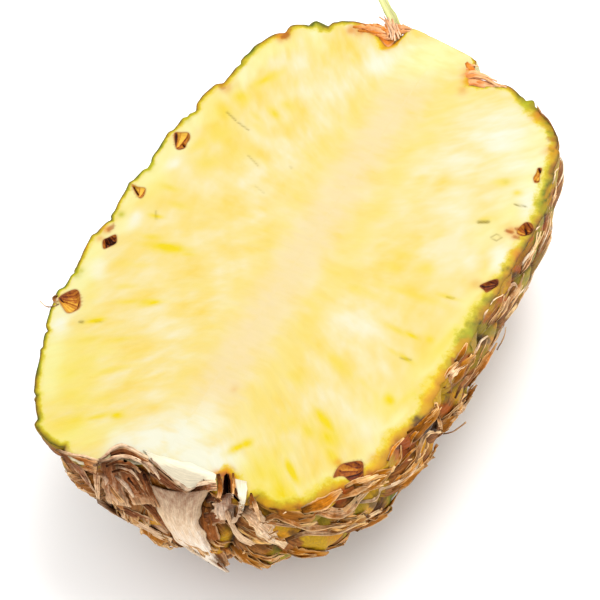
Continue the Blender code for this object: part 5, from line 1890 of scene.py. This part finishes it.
def crownLeaves(rind, papers):
    store = newStore()
    addSheet(store, rind, crownNotchEdges, {
        "rows": 20, "columns": 14, "cup": 0.2, "wave": 0.1, "crumple": 0.2, "ragged": 0.2,
        "tint": 0.2, "warmth": 1.0,
    })
    for pixels, widths, tint, warmth, lifts in crownStrips.values():
        addRibbon(store, rind, pixels, widths, {
            "rows": 10 * len(pixels), "columns": 5, "tint": tint, "warmth": warmth, "lifts": lifts,
            "cup": -0.2 * max(widths), "wave": 0.1, "ragged": 0.6, "crumple": 0.3, "crumpleSize": 2.0,
        })
    for spine, widths, tint in crownTips:
        addSpine(store, spine, widths, (0.0, 0.3, 1.0), {
            "rows": 24, "columns": 7, "tint": tint, "warmth": 0.8, "crumple": 0.25, "crumpleSize": 2.5,
            "cup": -0.2 * max(widths), "wave": 0.1, "ragged": 0.5,
        })
    storePiece("crownLeafBases", store, papers["salmon"], crownThickness)

    sliver = newStore()
    addSpine(sliver, crownSliver["spine"], crownSliver["widths"], crownSliver["facing"], {
        "rows": 26, "tint": 0.7, "crumple": 0.1, "wave": 0.1, "cup": 0.8,
    })
    storePiece("crownSliver", sliver, papers["fresh"], crownSliver["thickness"])


# Floor, light and camera, in metres

light = {
    "sky": 1.24,
    "lampPower": 13.0,
    "lampSize": 0.8,
    "lampPlace": (0.20, 0.50, 1.15),
    "lampAim": (0.0, 0.0, 0.05),
    "floorHalf": 3.0,
}


def studio():
    scene = bpy.context.scene
    scene.view_settings.view_transform = "Standard"
    mesh = bpy.data.meshes.new("floor")
    half = light["floorHalf"]
    corners = ((-half, -half, 0.0), (half, -half, 0.0), (half, half, 0.0), (-half, half, 0.0))
    mesh.from_pydata(corners, [], [(0, 1, 2, 3)])
    floor = bpy.data.objects.new("floor", mesh)
    scene.collection.objects.link(floor)
    # Photo studio's paper, matt: just off one white, with soft clouds a third of a metre across
    made, tree, shader = newMaterial("whitePaperSweep")
    places = addNode(tree, "TexCoord", {}, output="Object")
    cloud = addNode(tree, "TexNoise", {"Vector": places, "Scale": 3.0})
    tone = addNode(tree, "ValToRGB", {0: cloud}, stops=((0.3, "#f3f2f0"), (0.7, "#f6f5f4")))
    setInputs(tree, shader, {"Base Color": tone, "Roughness": 0.8, "Specular IOR Level": 0.2})
    mesh.materials.append(made)

    world = bpy.data.worlds.new("studio")
    world.use_nodes = True
    world.node_tree.nodes["Background"].inputs["Color"].default_value = (1.0, 1.0, 1.0, 1.0)
    world.node_tree.nodes["Background"].inputs["Strength"].default_value = light["sky"]
    scene.world = world

    lamp = bpy.data.lights.new("softbox", "AREA")
    lamp.energy = light["lampPower"]
    lamp.size = light["lampSize"]
    softbox = bpy.data.objects.new("softbox", lamp)
    softbox.location = light["lampPlace"]
    aim = Vector(light["lampAim"]) - softbox.location
    softbox.rotation_euler = aim.to_track_quat("-Z", "Y").to_euler()
    scene.collection.objects.link(softbox)

    camera = bpy.data.objects.new("camera", bpy.data.cameras.new("camera"))
    camera.data.lens = view["lens"]
    camera.data.clip_end = 20.0
    right, up = Vector(view["right"]), Vector(view["up"])
    turned = Matrix((right, up, right.cross(up))).transposed().to_4x4()
    place = np.array(view["place"]) * mm + fruitPlace
    camera.matrix_world = Matrix.Translation(place) @ turned
    scene.collection.objects.link(camera)
    scene.camera = camera
    print("floor, light and camera are set")


studio()
shell, faces, loop = rindShell()
outlines, flat, flatFaces = cutFlesh(shell, loop)
lid = [[corner + len(shell) for corner in face] for face in flatFaces]
rind = BVHTree.FromPolygons(shell.tolist() + flat.tolist(), faces + lid)
eyeHollows(outlines)
papers = {kind: paperMaterial(*look) for kind, look in paperKinds.items()}
eyeBracts(papers)
placeStrips(rind, papers)
stemLeaves(rind, papers)
crownLeaves(rind, papers)
